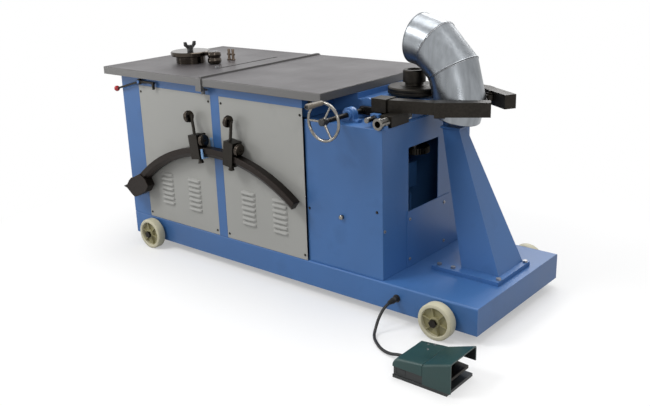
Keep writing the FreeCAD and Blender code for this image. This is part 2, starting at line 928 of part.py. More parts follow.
def deck_box():
    """Raised deck on the housing that carries the table's end, the spindle and the guides."""
    body = new_body("deck")
    top = "deck_height"
    seat = "table_bottom - housing_top"
    profile = [
        ("housing_left", "0"), ("right - deck_setback", "0"), ("right - deck_setback", top),
        ("right - table_right + 1", top), ("right - table_right + 1", seat), ("housing_left", seat),
    ]
    depth = "2 * (mirror_offset - deck_front)"
    pad(body, polygon(sketch_on(body, "XZ_Plane"), profile), depth, backwards=True)
    move(body, 0, "front + deck_front", "housing_top")
    spindle_bore = rod("spindle_bore", "spindle_radius + fit", "deck_height + 20",
                       "closing_axis_x", "closing_axis_y", "housing_top - 10")
    screw_bore = rod("screw_bore", "screw_radius + fit", f"{depth} + 20",
                     "screw_axis_x", "front + deck_front - 10", "screw_height", "Y")
    node(cut("deck_bored", body, spindle_bore, screw_bore), "deck_box")


def closing_roll():
    """Outer roll on its spindle: a stepped flange below, a neck and the upper roll."""
    top = "flange_thickness + neck_height + roll_height"
    roll_base = "flange_thickness + neck_height"
    profile = [
        ("0", "0"), ("flange_radius - flange_step", "0"), ("flange_radius", "flange_step"),
        ("flange_radius", "flange_thickness / 2 - 2"), ("flange_radius - 3", "flange_thickness / 2"),
        ("flange_radius", "flange_thickness / 2 + 2"), ("flange_radius", "flange_thickness - flange_step"),
        ("flange_radius - flange_step", "flange_thickness"), ("neck_radius", "flange_thickness"),
        ("neck_radius", roll_base), ("roll_radius", roll_base), ("roll_radius", f"{top} - roll_edge"),
        ("roll_radius - roll_edge", top), ("roll_recess_radius", top),
        ("roll_recess_radius", f"{top} - roll_recess"), ("0", f"{top} - roll_recess"),
    ]
    node(turned("roll", profile, "closing_axis_x", "closing_axis_y", "flange_bottom"), "closing_roll")
    collar = "spindle_radius + 8"
    spindle = turned("spindle", [
        ("0", "-spindle_drop"), ("spindle_radius", "-spindle_drop"), ("spindle_radius", "-flange_gap + 0.5"),
        (collar, "-flange_gap + 0.5"), (collar, "0"), ("0", "0"),
    ], "closing_axis_x", "closing_axis_y", "flange_bottom")
    node(spindle, "closing_spindle")


def spur_gear(name, teeth, bore, x, y, z, turn):
    """Spur gear with straight-flanked teeth of the common module."""
    root = f"(gear_module * {teeth} / 2 - 1.25 * gear_module)"
    tip = f"(gear_module * {teeth} / 2 + 0.95 * gear_module)"
    body = new_body(name + "_blank")
    blank = sketch_on(body, "XY_Plane")
    circle(blank, "0", "0", root)
    circle(blank, "0", "0", bore)
    pad(body, blank, "gear_thickness")
    tooth = polygon(sketch_on(body, "XY_Plane"), [
        (f"{root} - 1", "-gear_module * 1.02"), (f"gear_module * {teeth} / 2", "-gear_module * 0.72"),
        (tip, "-gear_module * 0.36"), (tip, "gear_module * 0.36"),
        (f"gear_module * {teeth} / 2", "gear_module * 0.72"), (f"{root} - 1", "gear_module * 1.02"),
    ])
    polar(body, pad(body, tooth, "gear_thickness"), tooth, teeth)
    return move_only(swing(name + "_meshed", body, turn), x, y, z)


def move_only(thing, x, y, z):
    """Bind a piece's place and leave its turn as it is."""
    for letter, text in (("x", x), ("y", y), ("z", z)):
        thing.setExpression("Placement.Base." + letter, formula(text))
    return thing


def gears():
    """Reduction from the gearbox to the spindle, seen through the housing window."""
    gear = spur_gear("spindle_gear", "gear_teeth", "spindle_radius",
                     "closing_axis_x", "closing_axis_y", "gear_level", "0")
    node(gear, "spindle_gear")
    pinion = spur_gear("pinion", "pinion_teeth", "pinion_shaft_radius - 1",
                       "pinion_axis_x", "closing_axis_y", "gear_level", "180 / pinion_teeth")
    shaft_start = "gearbox_top - pinion_shaft_radius"
    shaft = rod("pinion_shaft", "pinion_shaft_radius", f"gear_level + gear_thickness + 6 - ({shaft_start})",
                "pinion_axis_x", "closing_axis_y", shaft_start)
    node(join("pinion_solid", pinion, shaft), "pinion")


def motor_and_gearbox():
    """Upright finned motor on a foot, with the gearbox above it."""
    body = new_body("motor_body")
    circle_sketch = circle(sketch_on(body, "XY_Plane"), "0", "0", "motor_radius")
    pad(body, circle_sketch, "motor_height")
    fin = rectangle(sketch_on(body, "XY_Plane", "motor_foot + 30"), "motor_radius - 2", "-fin_width / 2",
                    "motor_radius + fin_rise", "fin_width / 2")
    polar(body, pad(body, fin, "motor_height - motor_foot - 60"), fin, "fin_count")
    move(body, "pinion_axis_x", "closing_axis_y", "base_top")
    foot = rod("motor_foot", "motor_foot_radius", "motor_foot", "pinion_axis_x", "closing_axis_y", "base_top")
    node(join("motor_solid", body, foot), "motor")
    case = box("gearbox_case", "gearbox_width", "gearbox_depth", "gearbox_height",
               "pinion_axis_x - gearbox_width / 2", "closing_axis_y - gearbox_depth / 2", "gearbox_bottom")
    neck = rod("gearbox_neck", "gearbox_neck_radius", "gearbox_neck", "pinion_axis_x", "closing_axis_y",
               "gearbox_top")
    bore = rod("gearbox_bore", "pinion_shaft_radius + fit", "gearbox_neck + 4 * pinion_shaft_radius",
               "pinion_axis_x", "closing_axis_y", "gearbox_top - 2 * pinion_shaft_radius")
    node(cut("gearbox_solid", join("gearbox_outer", case, neck), bore), "gearbox")


def column():
    """Leaning tapered column, its bolted foot and the bearing head at its top."""
    body = new_body("column_shell")
    foot = rectangle(sketch_on(body, "XY_Plane"), "-column_foot_left", "column_foot_front",
                     "-column_foot_right", "column_foot_back")
    top = rectangle(sketch_on(body, "XY_Plane", "column_height"), "-column_top_left", "column_top_front",
                    "-column_top_right", "column_top_back")
    loft = body.newObject("PartDesign::AdditiveLoft", "column_loft")
    loft.Profile = foot
    loft.Sections = [top]
    loft.Ruled = True
    node(move(body, "right", "front", "base_top + foot_thickness"), "column")

    plate = box("foot_plate", "foot_left - foot_right", "foot_back - foot_front", "foot_thickness",
                "right - foot_left", "front + foot_front", "base_top")
    node(plate, "column_foot")
    bolts = [
        hexagon("foot_bolt", "bolt_radius * 1.8", "bolt_head", x, y, "base_top + foot_thickness")
        for x in ("right - foot_left + 24", "right - column_foot_left - 24", "right - foot_right - 12")
        for y in ("front + foot_front + 24", "front + foot_back - 20")
    ]
    node(group("bolts", *bolts), "foot_bolts")

    cap = box("head_plate", "column_top_left - column_top_right + 2 * head_rim",
              "column_top_back - column_top_front + 2 * head_rim", "head_thickness",
              "right - column_top_left - head_rim", "front + column_top_front - head_rim", "column_top")
    bearing = rod("head_bearing", "bearing_radius", "inner_roll_bottom - 1 - column_top",
                  "inner_axis_x", "inner_axis_y", "column_top")
    bore = rod("head_bore", "inner_shaft_radius + fit", "inner_roll_bottom - column_top",
               "inner_axis_x", "inner_axis_y", "column_top + 2")
    node(cut("head", join("head_solid", cap, bearing), bore), "column_head")


def inner_roll():
    """Roll inside the elbow, on a shaft in the column's head."""
    profile = [
        ("0", "column_top + 4 - inner_roll_bottom"),
        ("inner_shaft_radius", "column_top + 4 - inner_roll_bottom"),
        ("inner_shaft_radius", "0"), ("inner_roll_radius - inner_crown", "0"),
        ("inner_roll_radius", "inner_roll_height / 2 - 1"), ("inner_roll_radius", "inner_roll_height / 2 + 1"),
        ("inner_roll_radius - inner_crown", "inner_roll_height"),
        ("14", "inner_roll_height"), ("14", "inner_roll_height + 8"), ("0", "inner_roll_height + 8"),
    ]
    node(turned("inner", profile, "inner_axis_x", "inner_axis_y", "inner_roll_bottom"), "inner_roll")


def wedge(label, start, end, reach):
    """Slice between two seam planes, seen square to the plane of the bend."""
    body = new_body(label)
    outline = polygon(sketch_on(body, "XZ_Plane"), [
        ("0", "0"), (f"-{reach} * cos({start})", f"{reach} * sin({start})"),
        (f"-{reach} * cos({end})", f"{reach} * sin({end})"),
    ])
    pad(body, outline, "3 * elbow_radius", middle=True)
    return body


def seam_strip(label, angle, side, reach):
    """Thin slab along one seam plane, on the side of the gore that it belongs to."""
    body = new_body(label)
    ray = [(f"-{reach} * cos({angle})", f"{reach} * sin({angle})"),
           (f"-40 * cos({angle})", f"40 * sin({angle})")]
    shift = (f"+ {side} * bead_width * sin({angle})", f"+ {side} * bead_width * cos({angle})")
    outline = polygon(sketch_on(body, "XZ_Plane"), [
        ray[0], ray[1],
        (ray[1][0] + shift[0], ray[1][1] + shift[1]), (ray[0][0] + shift[0], ray[0][1] + shift[1]),
    ])
    pad(body, outline, "3 * elbow_radius", middle=True)
    return body


def gore(index, start, end, tilt, beads):
    """One mitred section of pipe, oval so that its seams are round, with a bead at each seam."""
    reach = "(bend_radius + 2 * elbow_radius)"

    def pipe(label, radius, length):
        ring = doc.addObject("Part::Ellipse", label + "_ring")
        ring.setExpression("MajorRadius", formula(radius))
        ring.setExpression("MinorRadius", formula(f"({radius}) * cos(gore_angle / 2)"))
        ring.Placement.Rotation = Rotation(Vector(0, 0, 1), 90)
        move_only(ring, "-bend_radius * cos(gore_angle / 2)", 0, 0)
        straight = doc.addObject("Part::Extrusion", label)
        straight.Base = ring
        straight.DirMode = "Custom"
        straight.Dir = Vector(0, 0, 1)
        straight.Solid = True
        straight.Symmetric = True
        straight.setExpression("LengthFwd", formula(length))
        return swing(label + "_tilted", straight, tilt, (0, 1, 0))

    outer = pipe(f"gore{index}_outer", "elbow_radius", "4 * elbow_radius")
    inner = pipe(f"gore{index}_inner", "elbow_radius - elbow_wall", "5 * elbow_radius")
    solids = [shared(f"gore{index}_pipe", outer, wedge(f"gore{index}_wedge", start, end, reach))]
    for number, (angle, side) in enumerate(beads):
        wide = pipe(f"gore{index}_wide{number}", "elbow_radius + bead_rise", "4 * elbow_radius")
        strip = seam_strip(f"gore{index}_strip{number}", angle, side, reach)
        solids.append(shared(f"gore{index}_bead{number}", wide, strip))
    return cut(f"gore{index}", join(f"gore{index}_solid", *solids), inner)


def elbow():
    """Four-gore elbow held in the closing station, bent towards the tables."""
    rims = ("0 - foot_angle", "0", "gore_angle", "2 * gore_angle", "2 * gore_angle + mouth_angle")
    tilts = ("0 - gore_angle / 2", "gore_angle / 2", "1.5 * gore_angle", "2.5 * gore_angle")
    gores = []
    for index in range(4):
        beads = []
        if index > 0:
            beads.append((rims[index], 1))
        if index < 3:
            beads.append((rims[index + 1], -1))
        gores.append(gore(index + 1, rims[index], rims[index + 1], tilts[index], beads))
    whole = swing("elbow_gores", group("gores", *gores), "bend_direction")
    node(move_only(whole, "elbow_axis_x + bend_radius * cos(bend_direction)",
                   "elbow_axis_y + bend_radius * sin(bend_direction)", "seam_height"), "elbow")


def arm():
    """Angled arm: the bar on the carriage, a clamp block and the outer box with its fork."""
    bar = swing("arm_bar", box("bar", "bar_length + bar_width", "bar_width", "bar_height", "0 - bar_width"),
                "bar_angle")
    move_only(bar, "right - bar_x", "front + bar_y", "arm_top - bar_height")
    head_room = box("head_room", "bar_width + 20", "3 * bar_width", "2 * bar_height",
                    "right - carriage_shoulder - bar_width - 20", "front + bar_y - bar_width",
                    "arm_top - 1.5 * bar_height")
    along = "(elbow_axis_x - right + outer_x) * cos(outer_angle) + (elbow_axis_y - front - outer_y)" \
            " * sin(outer_angle)"
    fork_top = "outer_height - (arm_top - seam_height) + guide_roller_height / 2 + 1"
    solids = [
        box("outer", "outer_length", "outer_width", "outer_height"),
        box("clamp", "clamp_length", "outer_width + 2 * clamp_proud", "outer_height + clamp_proud",
            0, "-clamp_proud", "-clamp_proud"),
    ]
    for z in (fork_top, "outer_height - (arm_top - seam_height) - guide_roller_height / 2 - 1 - fork_plate"):
        solids.append(box("fork", "2 * (pin_radius + fork_rim)", "guide_roller_radius / 2", "fork_plate",
                          f"{along} - pin_radius - fork_rim", "outer_width", z))
    solids.append(box("lug", "2 * (pin_radius + fork_rim)", "guide_roller_radius / 2", "fork_plate",
                      "lug_offset - pin_radius - fork_rim", "outer_width", fork_top))
    solids.append(rod("lug_bolt", "pin_radius", "fork_plate + pin_head", "lug_offset",
                      "outer_width + pin_radius", fork_top))
    for z in ("outer_height / 4", "outer_height * 3 / 4"):
        solids.append(hexagon("clamp_bolt", "bolt_radius", "clamp_proud + 4", "clamp_length / 2", 0, z, "-Y"))
    outer = swing("arm_outer", join("outer_parts", *solids), "outer_angle")
    move_only(outer, "right - outer_x", "front + outer_y", "arm_top - outer_height")
    room = rod("roller_room", "guide_roller_radius + 1", "guide_roller_height + 2",
               "front_roller_x", "front_roller_y", "seam_height - guide_roller_height / 2 - 1")
    bore = rod("roller_bore", "pin_radius + fit", "outer_height",
               "front_roller_x", "front_roller_y", "seam_height - outer_height / 2")
    whole = cut("arm_solid", join("arm_joined", bar, outer), room, bore, head_room)
    node(whole, "front_arm")
    node(mirrored("arm_mirror", whole), "back_arm")


def carriage():
    """Black block that slides on the guides, with an ear for the lead screw."""
    depth = "carriage_back - carriage_front"
    bottom = "housing_top + carriage_lift"
    foot = box("carriage_foot", "carriage_left - carriage_right", depth,
               "arm_top - bar_height - housing_top - carriage_lift",
               "right - carriage_left", "front + carriage_front", bottom)
    head = box("carriage_head", "head_left - carriage_shoulder", "carriage_back - head_front",
               "bar_height + carriage_rise + head_lap",
               "right - head_left", "front + head_front", "arm_top - bar_height - head_lap")
    ear = box("carriage_ear", "nut_left - carriage_shoulder", "carriage_back - nut_front",
              "2 * nut_drop + 2 * screw_radius", "right - nut_left", "front + nut_front",
              "screw_height - nut_drop - screw_radius")
    nut = hexagon("carriage_nut", "screw_nut_radius", "screw_nut_length", "screw_axis_x",
                  "front + nut_front", "screw_height", "-Y")
    bores = [
        rod(label, f"{radius} + fit", "2 * carriage_back", x, "front - carriage_back / 2", z, "Y")
        for label, radius, x, z in (
            ("tube_slide", "tube_radius", "right - tube_x", "tube_height"),
            ("tie_slide", "tie_radius", "right - tie_x", "tie_height"),
            ("screw_slide", "screw_radius", "screw_axis_x", "screw_height"),
        )
    ]
    whole = cut("carriage", join("carriage_solid", foot, head, ear, nut), *bores)
    node(whole, "front_carriage")
    node(mirrored("carriage_mirror", whole), "back_carriage")


def guide_rods():
    """Chrome tube and tie bar at the front and at the back of the deck, on their saddles."""
    solids = []
    length = "deck_front"
    tube = cut("guide_tube",
               join("tube_outside",
                    rod("tube", "tube_radius", length, "right - tube_x", "front", "tube_height", "Y"),
                    rod("tube_collar", "tube_collar_radius", "tube_collar", "right - tube_x", "front",
                        "tube_height", "Y")),
               rod("tube_inside", "tube_bore", "60", "right - tube_x", "front - 1", "tube_height", "Y"))
    tie = rod("tie", "tie_radius", "deck_front - 12", "right - tie_x", "front + 12", "tie_height", "Y")
    for piece in (tube, tie):
        solids.append(piece)
        solids.append(mirrored(piece.Name + "_back", piece))
    node(group("rods", *solids), "guide_rods")


def screw_blocks():
    """Blue bearing blocks of the lead screw and the saddles of the guide tubes."""
    boss = rod("block_boss", "block_boss_radius", "block_boss + block_depth / 2", "screw_axis_x",
               "front + block_front - block_boss", "screw_height", "Y")
    solids = []
    for piece in (bearing_block("block", "block_radius", "block_feet", "block_depth",
                                "front + block_front", boss),
                  bearing_block("plate", "bearing_plate_radius", "bearing_plate_feet", "bearing_plate",
                                "front + deck_front - bearing_plate"),
                  tube_saddle(), tie_lug()):
        solids.append(piece)
        solids.append(mirrored(piece.Name + "_back", piece))
    node(group("blocks", *solids), "screw_blocks")


def bearing_block(label, radius, feet, depth, y, *extras):
    """Block with a round top on a wider foot, bored for the lead screw."""
    arch = rod(label + "_arch", radius, depth, "screw_axis_x", y, "screw_height", "Y")
    under = box(label + "_body", f"2 * {radius}", depth, "screw_rise",
                f"screw_axis_x - {radius}", y, "housing_top")
    room = box(label + "_room", f"3 * {radius}", f"2 * {depth}", f"2 * {radius}",
               f"screw_axis_x - 1.5 * {radius}", f"{y} - {depth} / 2", f"housing_top - 2 * {radius}")
    foot = box(label + "_foot", feet, depth, "block_foot", f"screw_axis_x - {feet} / 2", y, "housing_top")
    bore = rod(label + "_bore", "screw_radius + fit", f"3 * {depth}", "screw_axis_x",
               f"{y} - {depth}", "screw_height", "Y")
    return cut(label + "_solid", join(label + "_parts", arch, under, foot, *extras), room, bore)


def tie_lug():
    """Lug that holds the tie bar above the housing."""
    lug = box("lug_block", "2 * (tie_radius + tie_lug_wall)", "tie_lug_depth",
              "tie_rise + tie_radius + tie_lug_wall / 2", "right - tie_x - tie_radius - tie_lug_wall",
              "front + tie_lug_front", "housing_top")
    seat = rod("lug_seat", "tie_radius", "3 * tie_lug_depth", "right - tie_x",
               "front + tie_lug_front - tie_lug_depth", "tie_height", "Y")
    return cut("tie_lug", lug, seat)


def tube_saddle():
    saddle = box("saddle", "saddle_width", "saddle_depth", "saddle_height",
                 "right - tube_x - saddle_width / 2", "front + housing_inset + 2", "housing_top")
    seat = rod("saddle_seat", "tube_radius", "saddle_depth + 20", "right - tube_x",
               "front + housing_inset - 8", "tube_height", "Y")
    return cut("tube_saddle", saddle, seat)


def handwheel():
    """Rim on three spokes, with the pin that the grip turns on."""
    height = "screw_height"
    hub = rod("wheel_hub", "handwheel_hub", "handwheel_hub_length", "screw_axis_x",
              "handwheel_y - handwheel_hub_length / 2", height, "Y")
    rim = turned("rim", round_section("handwheel_radius", "handwheel_rim"),
                 "screw_axis_x", "handwheel_y", height, "Y")
    body = new_body("spokes")
    spoke = circle(sketch_on(body, "YZ_Plane"), "0", "0", "spoke_radius")
    first = pad(body, spoke, "handwheel_radius")
    flat = sketch_on(body, "XY_Plane")
    circle(flat, "0", "0", "spoke_radius")
    polar(body, first, flat, "spoke_count")
    move(body, "screw_axis_x", "handwheel_y", height, "Y")
    pin = rod("grip_pin", "grip_pin_radius", "handle_reach - handwheel_reach", "screw_axis_x",
              "front - handle_reach", f"{height} + handwheel_radius", "Y")
    washer = rod("grip_head", "grip_pin_radius * 2", "3", "screw_axis_x", "front - handle_reach",
                 f"{height} + handwheel_radius", "Y")
    bore = rod("hub_bore", "screw_radius", "handwheel_hub_length + 10", "screw_axis_x",
               "handwheel_y - handwheel_hub_length / 2 + 6", height, "Y")
    solid = join("handwheel_solid", hub, rim, body, pin, washer)
    node(cut("handwheel_bored", solid, bore), "handwheel")
    screw_start = "handwheel_y - handwheel_hub_length / 2 + 6"
    screw = rod("screw", "screw_radius", f"2 * mirror_y - front - block_front - ({screw_start})",
                "screw_axis_x", screw_start, height, "Y")
    node(screw, "lead_screw")
    length = "(handle_reach - handwheel_reach - handwheel_rim - 3 - 2 * grip_gap)"
    grip = turned("grip", [
        ("grip_pin_radius + fit", "0"), ("grip_radius - grip_tip", "0"), ("grip_radius", "grip_tip"),
        ("grip_radius - 1", f"{length} * 0.6"), ("grip_radius - grip_tip", length),
        ("grip_pin_radius + fit", length),
    ], "screw_axis_x", "front - handle_reach + 3 + grip_gap", f"{height} + handwheel_radius", "Y")
    node(grip, "crank_grip")


def guide_rollers():
    """Rollers in the forks of the arms, each on its own pin."""
    low = "-guide_roller_height / 2"
    high = "guide_roller_height / 2"
    pin_end = "guide_roller_height / 2 + 1 + fork_plate"
    profile = [
        ("0", f"-({pin_end})"), ("pin_radius", f"-({pin_end})"), ("pin_radius", low),
        ("guide_roller_radius", low), ("guide_roller_radius", high), ("pin_radius", high),
        ("pin_radius", f"{pin_end} + pin_head"), ("0", f"{pin_end} + pin_head"),
    ]
    for name, y in (("front_guide_roller", "front_roller_y"), ("back_guide_roller", "back_roller_y")):
        node(turned(name, profile, "front_roller_x", y, "seam_height"), name)


def domed_pair(bore, radius, width, edge):
    """Half section of a roller whose tread is two rounded rings side by side."""
    shoulders = [(f"{radius} - {edge}", "0"), (radius, edge), (radius, f"{width} / 2 - {edge} / 2"),
                 (f"{radius} - {edge} * 0.7", f"{width} / 2")]
    far = [(reach, f"{width} - ({along})") for reach, along in reversed(shoulders[:-1])]
    return [(bore, "0"), *shoulders, *far, (bore, width)]


def left_station():
    """Forming disc on its spindle, the knob on top and the roller on its slide."""
    high = "disc_body_height"
    top = "disc_body_height + disc_thickness"
    profile = [
        ("0", "-disc_spindle_drop"), ("disc_spindle_radius", "-disc_spindle_drop"),
        ("disc_spindle_radius", "0"), ("disc_body_radius", "0"), ("disc_body_radius", high),
        ("disc_radius - disc_edge", high), ("disc_radius", f"{high} + disc_edge"),
        ("disc_radius", f"{top} - disc_edge"), ("disc_radius - disc_edge", top), ("0", top),
    ]
    node(turned("disc", profile, "disc_axis_x", "disc_axis_y", "disc_bottom"), "forming_disc")

    collar = hexagon("wing_collar", "wing_collar_radius", "wing_collar_height",
                     "disc_axis_x", "disc_axis_y", "disc_top")
    body = new_body("wings")
    side = [("wing_reach", "wing_height / 2"), ("wing_reach", "wing_height"),
            ("wing_reach - wing_width", "wing_height"), ("wing_root", "wing_height / 2")]
    outline = [("0 - wing_root", "0"), ("wing_root", "0"), *side,
               *[(f"0 - ({x})", z) for x, z in reversed(side)]]
    pad(body, polygon(sketch_on(body, "XZ_Plane"), outline), "wing_thickness", middle=True)
    hub = rod("wing_hub", "wing_root", "wing_height / 2")
    knob = swing("wing_knob", join("wing_solid", body, hub), "wing_angle")
    move_only(knob, "disc_axis_x", "disc_axis_y", "disc_top + wing_collar_height")
    node(join("knob_solid", collar, knob), "star_knob")

    pin_top = "table_top + disc_lift + roller_height + 2"
    slide = join("slide_solid",
                 box("slide_block", "slide_length", "slide_width", "slide_height",
                     "roller_axis_x - slide_length / 2", "roller_axis_y - slide_width / 2",
                     "table_bottom - slide_height - 0.3"),
                 rod("slide_pin", "roller_pin_radius", f"{pin_top} - table_bottom + slide_height / 2",
                     "roller_axis_x", "roller_axis_y", "table_bottom - slide_height / 2"))
    node(slide, "roller_slide")
    bore = "roller_pin_radius + fit"
    roller = domed_pair(bore, "roller_radius", "roller_height", "roller_edge")
    node(turned("roller", roller, "roller_axis_x", "roller_axis_y", "disc_bottom"), "forming_roller")


def table_fittings():
    """Upright clamp beside the disc and the stop pin in the long slot."""
    solids = []
    for side in (-1, 1):
        x = f"left + clamp_x + {side} * (clamp_span / 2 - clamp_foot)"
        solids.append(rod("clamp_foot", "clamp_foot", "6", x, "front + clamp_y", "table_top"))
        solids.append(rod("clamp_post", "clamp_post", "clamp_height", x, "front + clamp_y", "table_top"))
    solids.append(box("clamp_bar", "clamp_span", "clamp_bar", "clamp_bar", "left + clamp_x - clamp_span / 2",
                      "front + clamp_y - clamp_bar / 2", "table_top + clamp_height * 0.45"))
    node(join("clamp_solid", *solids), "guide_clamp")

    stem = "table_thickness + 14"
    pin = turned("stop", [
        ("0", f"-({stem})"), ("slot_pin_head", f"-({stem})"), ("slot_pin_head", f"-({stem}) + 12"),
        ("slot_pin_radius", f"-({stem}) + 12"), ("slot_pin_radius", "0.3"), ("slot_pin_head", "0.3"),
        ("slot_pin_head", "slot_pin_rise"), ("0", "slot_pin_rise"),
    ], "slot_x", "front + slot_start + slot_width / 2", "table_top")
    node(pin, "slot_pin")


def control_lever():
    """Ball lever on the left post: hub, rod, ball and the flat finger on the other side."""
    back = "front - lever_gap"
    hub = rod("lever_hub", "lever_hub_radius", "lever_hub_width", "lever_axis_x", back, "lever_axis_z", "-Y")
    rod_piece = rod("lever_rod", "lever_rod_radius", "lever_reach", aim="-X")
    belt = [(f"lever_ball_radius * cos({angle})", f"lever_ball_radius * sin({angle})")
            for angle in (-67.5, -45, -22.5, 0, 22.5, 45, 67.5)]
    profile = [("0", "-lever_ball_radius"), *belt, ("0", "lever_ball_radius")]
    knob = turned("lever_ball", profile, "-lever_reach", aim="-X")
    handle = swing("lever_handle", join("lever_arm", rod_piece, knob), "0 - lever_angle", (0, 1, 0))
    move_only(handle, "lever_axis_x", f"{back} - lever_hub_width / 2", "lever_axis_z")
    body = new_body("finger")
    outline = polygon(sketch_on(body, "XZ_Plane"), [
        ("0", "-finger_width / 2"), ("finger_reach - finger_width", "-finger_width / 4"),
        ("finger_reach - finger_width / 2", "-finger_drop"), ("finger_reach", "-finger_drop"),
        ("finger_reach + finger_width / 4", "finger_width / 2"), ("0", "finger_width / 2"),
    ])
    pad(body, outline, "lever_hub_width - 6", backwards=False)
    move(body, "lever_axis_x", f"{back} - 3", "lever_axis_z")
    bore = rod("lever_bore", "lever_pin_radius + fit", "lever_hub_width + 4", "lever_axis_x",
               f"{back} + 2", "lever_axis_z", "-Y")
    node(cut("lever", join("lever_solid", hub, handle, body), bore), "control_lever")


def arc_guide():
    """Curved bar that hangs on the hook, with the pointed block at its left end."""
    bar = sector("bar_arc", "arc_inner", "arc_outer", "arc_start", "arc_sweep", "carrier_depth", "arc_back")
    block = new_body("end_solid")
    outline = polygon(sketch_on(block, "XY_Plane", "arc_back"), [
        ("arc_inner - 4", "0"), ("arc_outer + 4", "0"),
        ("end_block_outer", "end_block_chamfer"), ("end_block_outer", "end_block - end_block_chamfer"),
        ("arc_outer", "end_block"), ("arc_inner", "end_block"),
        ("end_block_inner", "end_block - end_block_chamfer"), ("end_block_inner", "end_block_chamfer"),
    ])
    pad(block, outline, "carrier_depth + 6")
    tip = cone("end_tip", "end_tip_radius", "3", "end_tip", "(arc_inner + arc_outer) / 2", "end_block - 1",
               "(arc_back + arc_front) / 2", "Y")
    end = swing("end_turned", join("end_parts", block, tip), "end_block_start")
    whole = join("arc_solid", bar, end)
    node(move(whole, "arc_axis_x", "front", "0 - arc_drop", "-Y"), "arc_guide")


def guide_hook():
    """Light blue strap hook that carries the curved bar."""
    under = "arc_inner - hook_metal - 0.3"
    depth = "arc_front + 2 * hook_metal"
    solids = [
        box("hook_back", "arc_outer - arc_inner + 40", "hook_width", "hook_metal", under, "-hook_width / 2", 0),
        box("hook_floor", "hook_metal", "hook_width", depth, under, "-hook_width / 2", 0),
        box("hook_lip", "arc_outer - arc_inner", "hook_width", "hook_metal", under,
            "-hook_width / 2", f"{depth} - hook_metal"),
    ]
    strap = swing("hook_strap", join("hook_parts", *solids), "hook_angle")
    node(move(group("hook", strap), "arc_axis_x", "front", "0 - arc_drop", "-Y"), "guide_hook")


def carrier(side, angle):
    """Block that rides on the curved bar, with a lever-like rod and two rollers."""
    low = "arc_inner - carrier_gap - carrier_wall"
    back = "arc_back - carrier_gap - carrier_wall"
    depth = "carrier_depth + 2 * carrier_gap + 2 * carrier_wall"
    middle = "(arc_back + arc_front) / 2"
    block = box("carrier_block", f"carrier_top - ({low})", "carrier_width", depth,
                low, "-carrier_width / 2", back)
    stem = rod("carrier_rod", "carrier_rod_radius", "carrier_rod_length + carrier_rod_radius", "carrier_top",
               "carrier_rod_offset", middle, "X")
    knob = cone("lock_knob", "lock_knob_radius / 2", "lock_knob_radius", "lock_knob_length",
                f"{low} + 1", 0, middle, "-X")
    top_stub = rod("top_stub", "roller_stub_radius", "roller_stub_gap + top_roller_width + 6",
                   "carrier_top + carrier_rod_length", "carrier_rod_offset", middle, "Y")
    side_stub = rod("side_stub", "roller_stub_radius", "roller_stub_gap + side_roller_width + 4",
                    "arc_outer + side_roller_rise", "-carrier_width / 2 + 1", middle, "-Y")
    room = sector("carrier_room", "arc_inner - carrier_gap", "arc_outer + carrier_gap", "0 - 4", "8",
                  "carrier_depth + 2 * carrier_gap", "arc_back - carrier_gap")
    solid = cut("carrier_solid", join("carrier_parts", block, stem, knob, top_stub, side_stub), room)
    turned_solid = swing("carrier_turned", solid, angle)
    node(move(group("carrier", turned_solid), "arc_axis_x", "front", "0 - arc_drop", "-Y"), f"{side}_carrier")

    rollers = (
        ("top", "carrier_top + carrier_rod_length", "carrier_rod_offset + carrier_rod_radius + roller_stub_gap"),
        ("side", "arc_outer + side_roller_rise",
         "-carrier_width / 2 - roller_stub_gap - side_roller_width"),
    )
    for place, radial, along in rollers:
        radius = f"{place}_roller_radius"
        width = f"{place}_roller_width"
        section = domed_pair("roller_stub_radius + fit", radius, width, "small_roller_edge")
        wheel_body = turned(f"{place}_wheel", section, radial, along, middle, "Y")
        turned_wheel = swing(f"{place}_wheel_turned", wheel_body, angle)
        whole = move(group(f"{place}_wheel_placed", turned_wheel), "arc_axis_x", "front", "0 - arc_drop", "-Y")
        node(whole, f"{side}_{place}_roller")


def latch_and_gland():
    knob = turned("latch", [
        ("0", "-2 * housing_wall"), ("latch_radius / 2", "-2 * housing_wall"), ("latch_radius / 2", "0.3"),
        ("latch_radius", "0.3"), ("latch_radius", "latch_length - 3"), ("latch_radius - 3", "latch_length"),
        ("0", "latch_length"),
    ], "right - latch_x", "front + housing_inset", "latch_z", "-Y")
    node(knob, "latch_knob")
    gland = turned("gland", [
        ("0", "0"), ("gland_radius + 4", "0"), ("gland_radius + 4", "5"), ("gland_radius", "5"),
        ("gland_radius", "gland_length - 6"), ("cord_radius + 2", "gland_length"), ("0", "gland_length"),
    ], "right - gland_x", "front", "gland_z", "-Y")
    node(gland, "cable_gland")


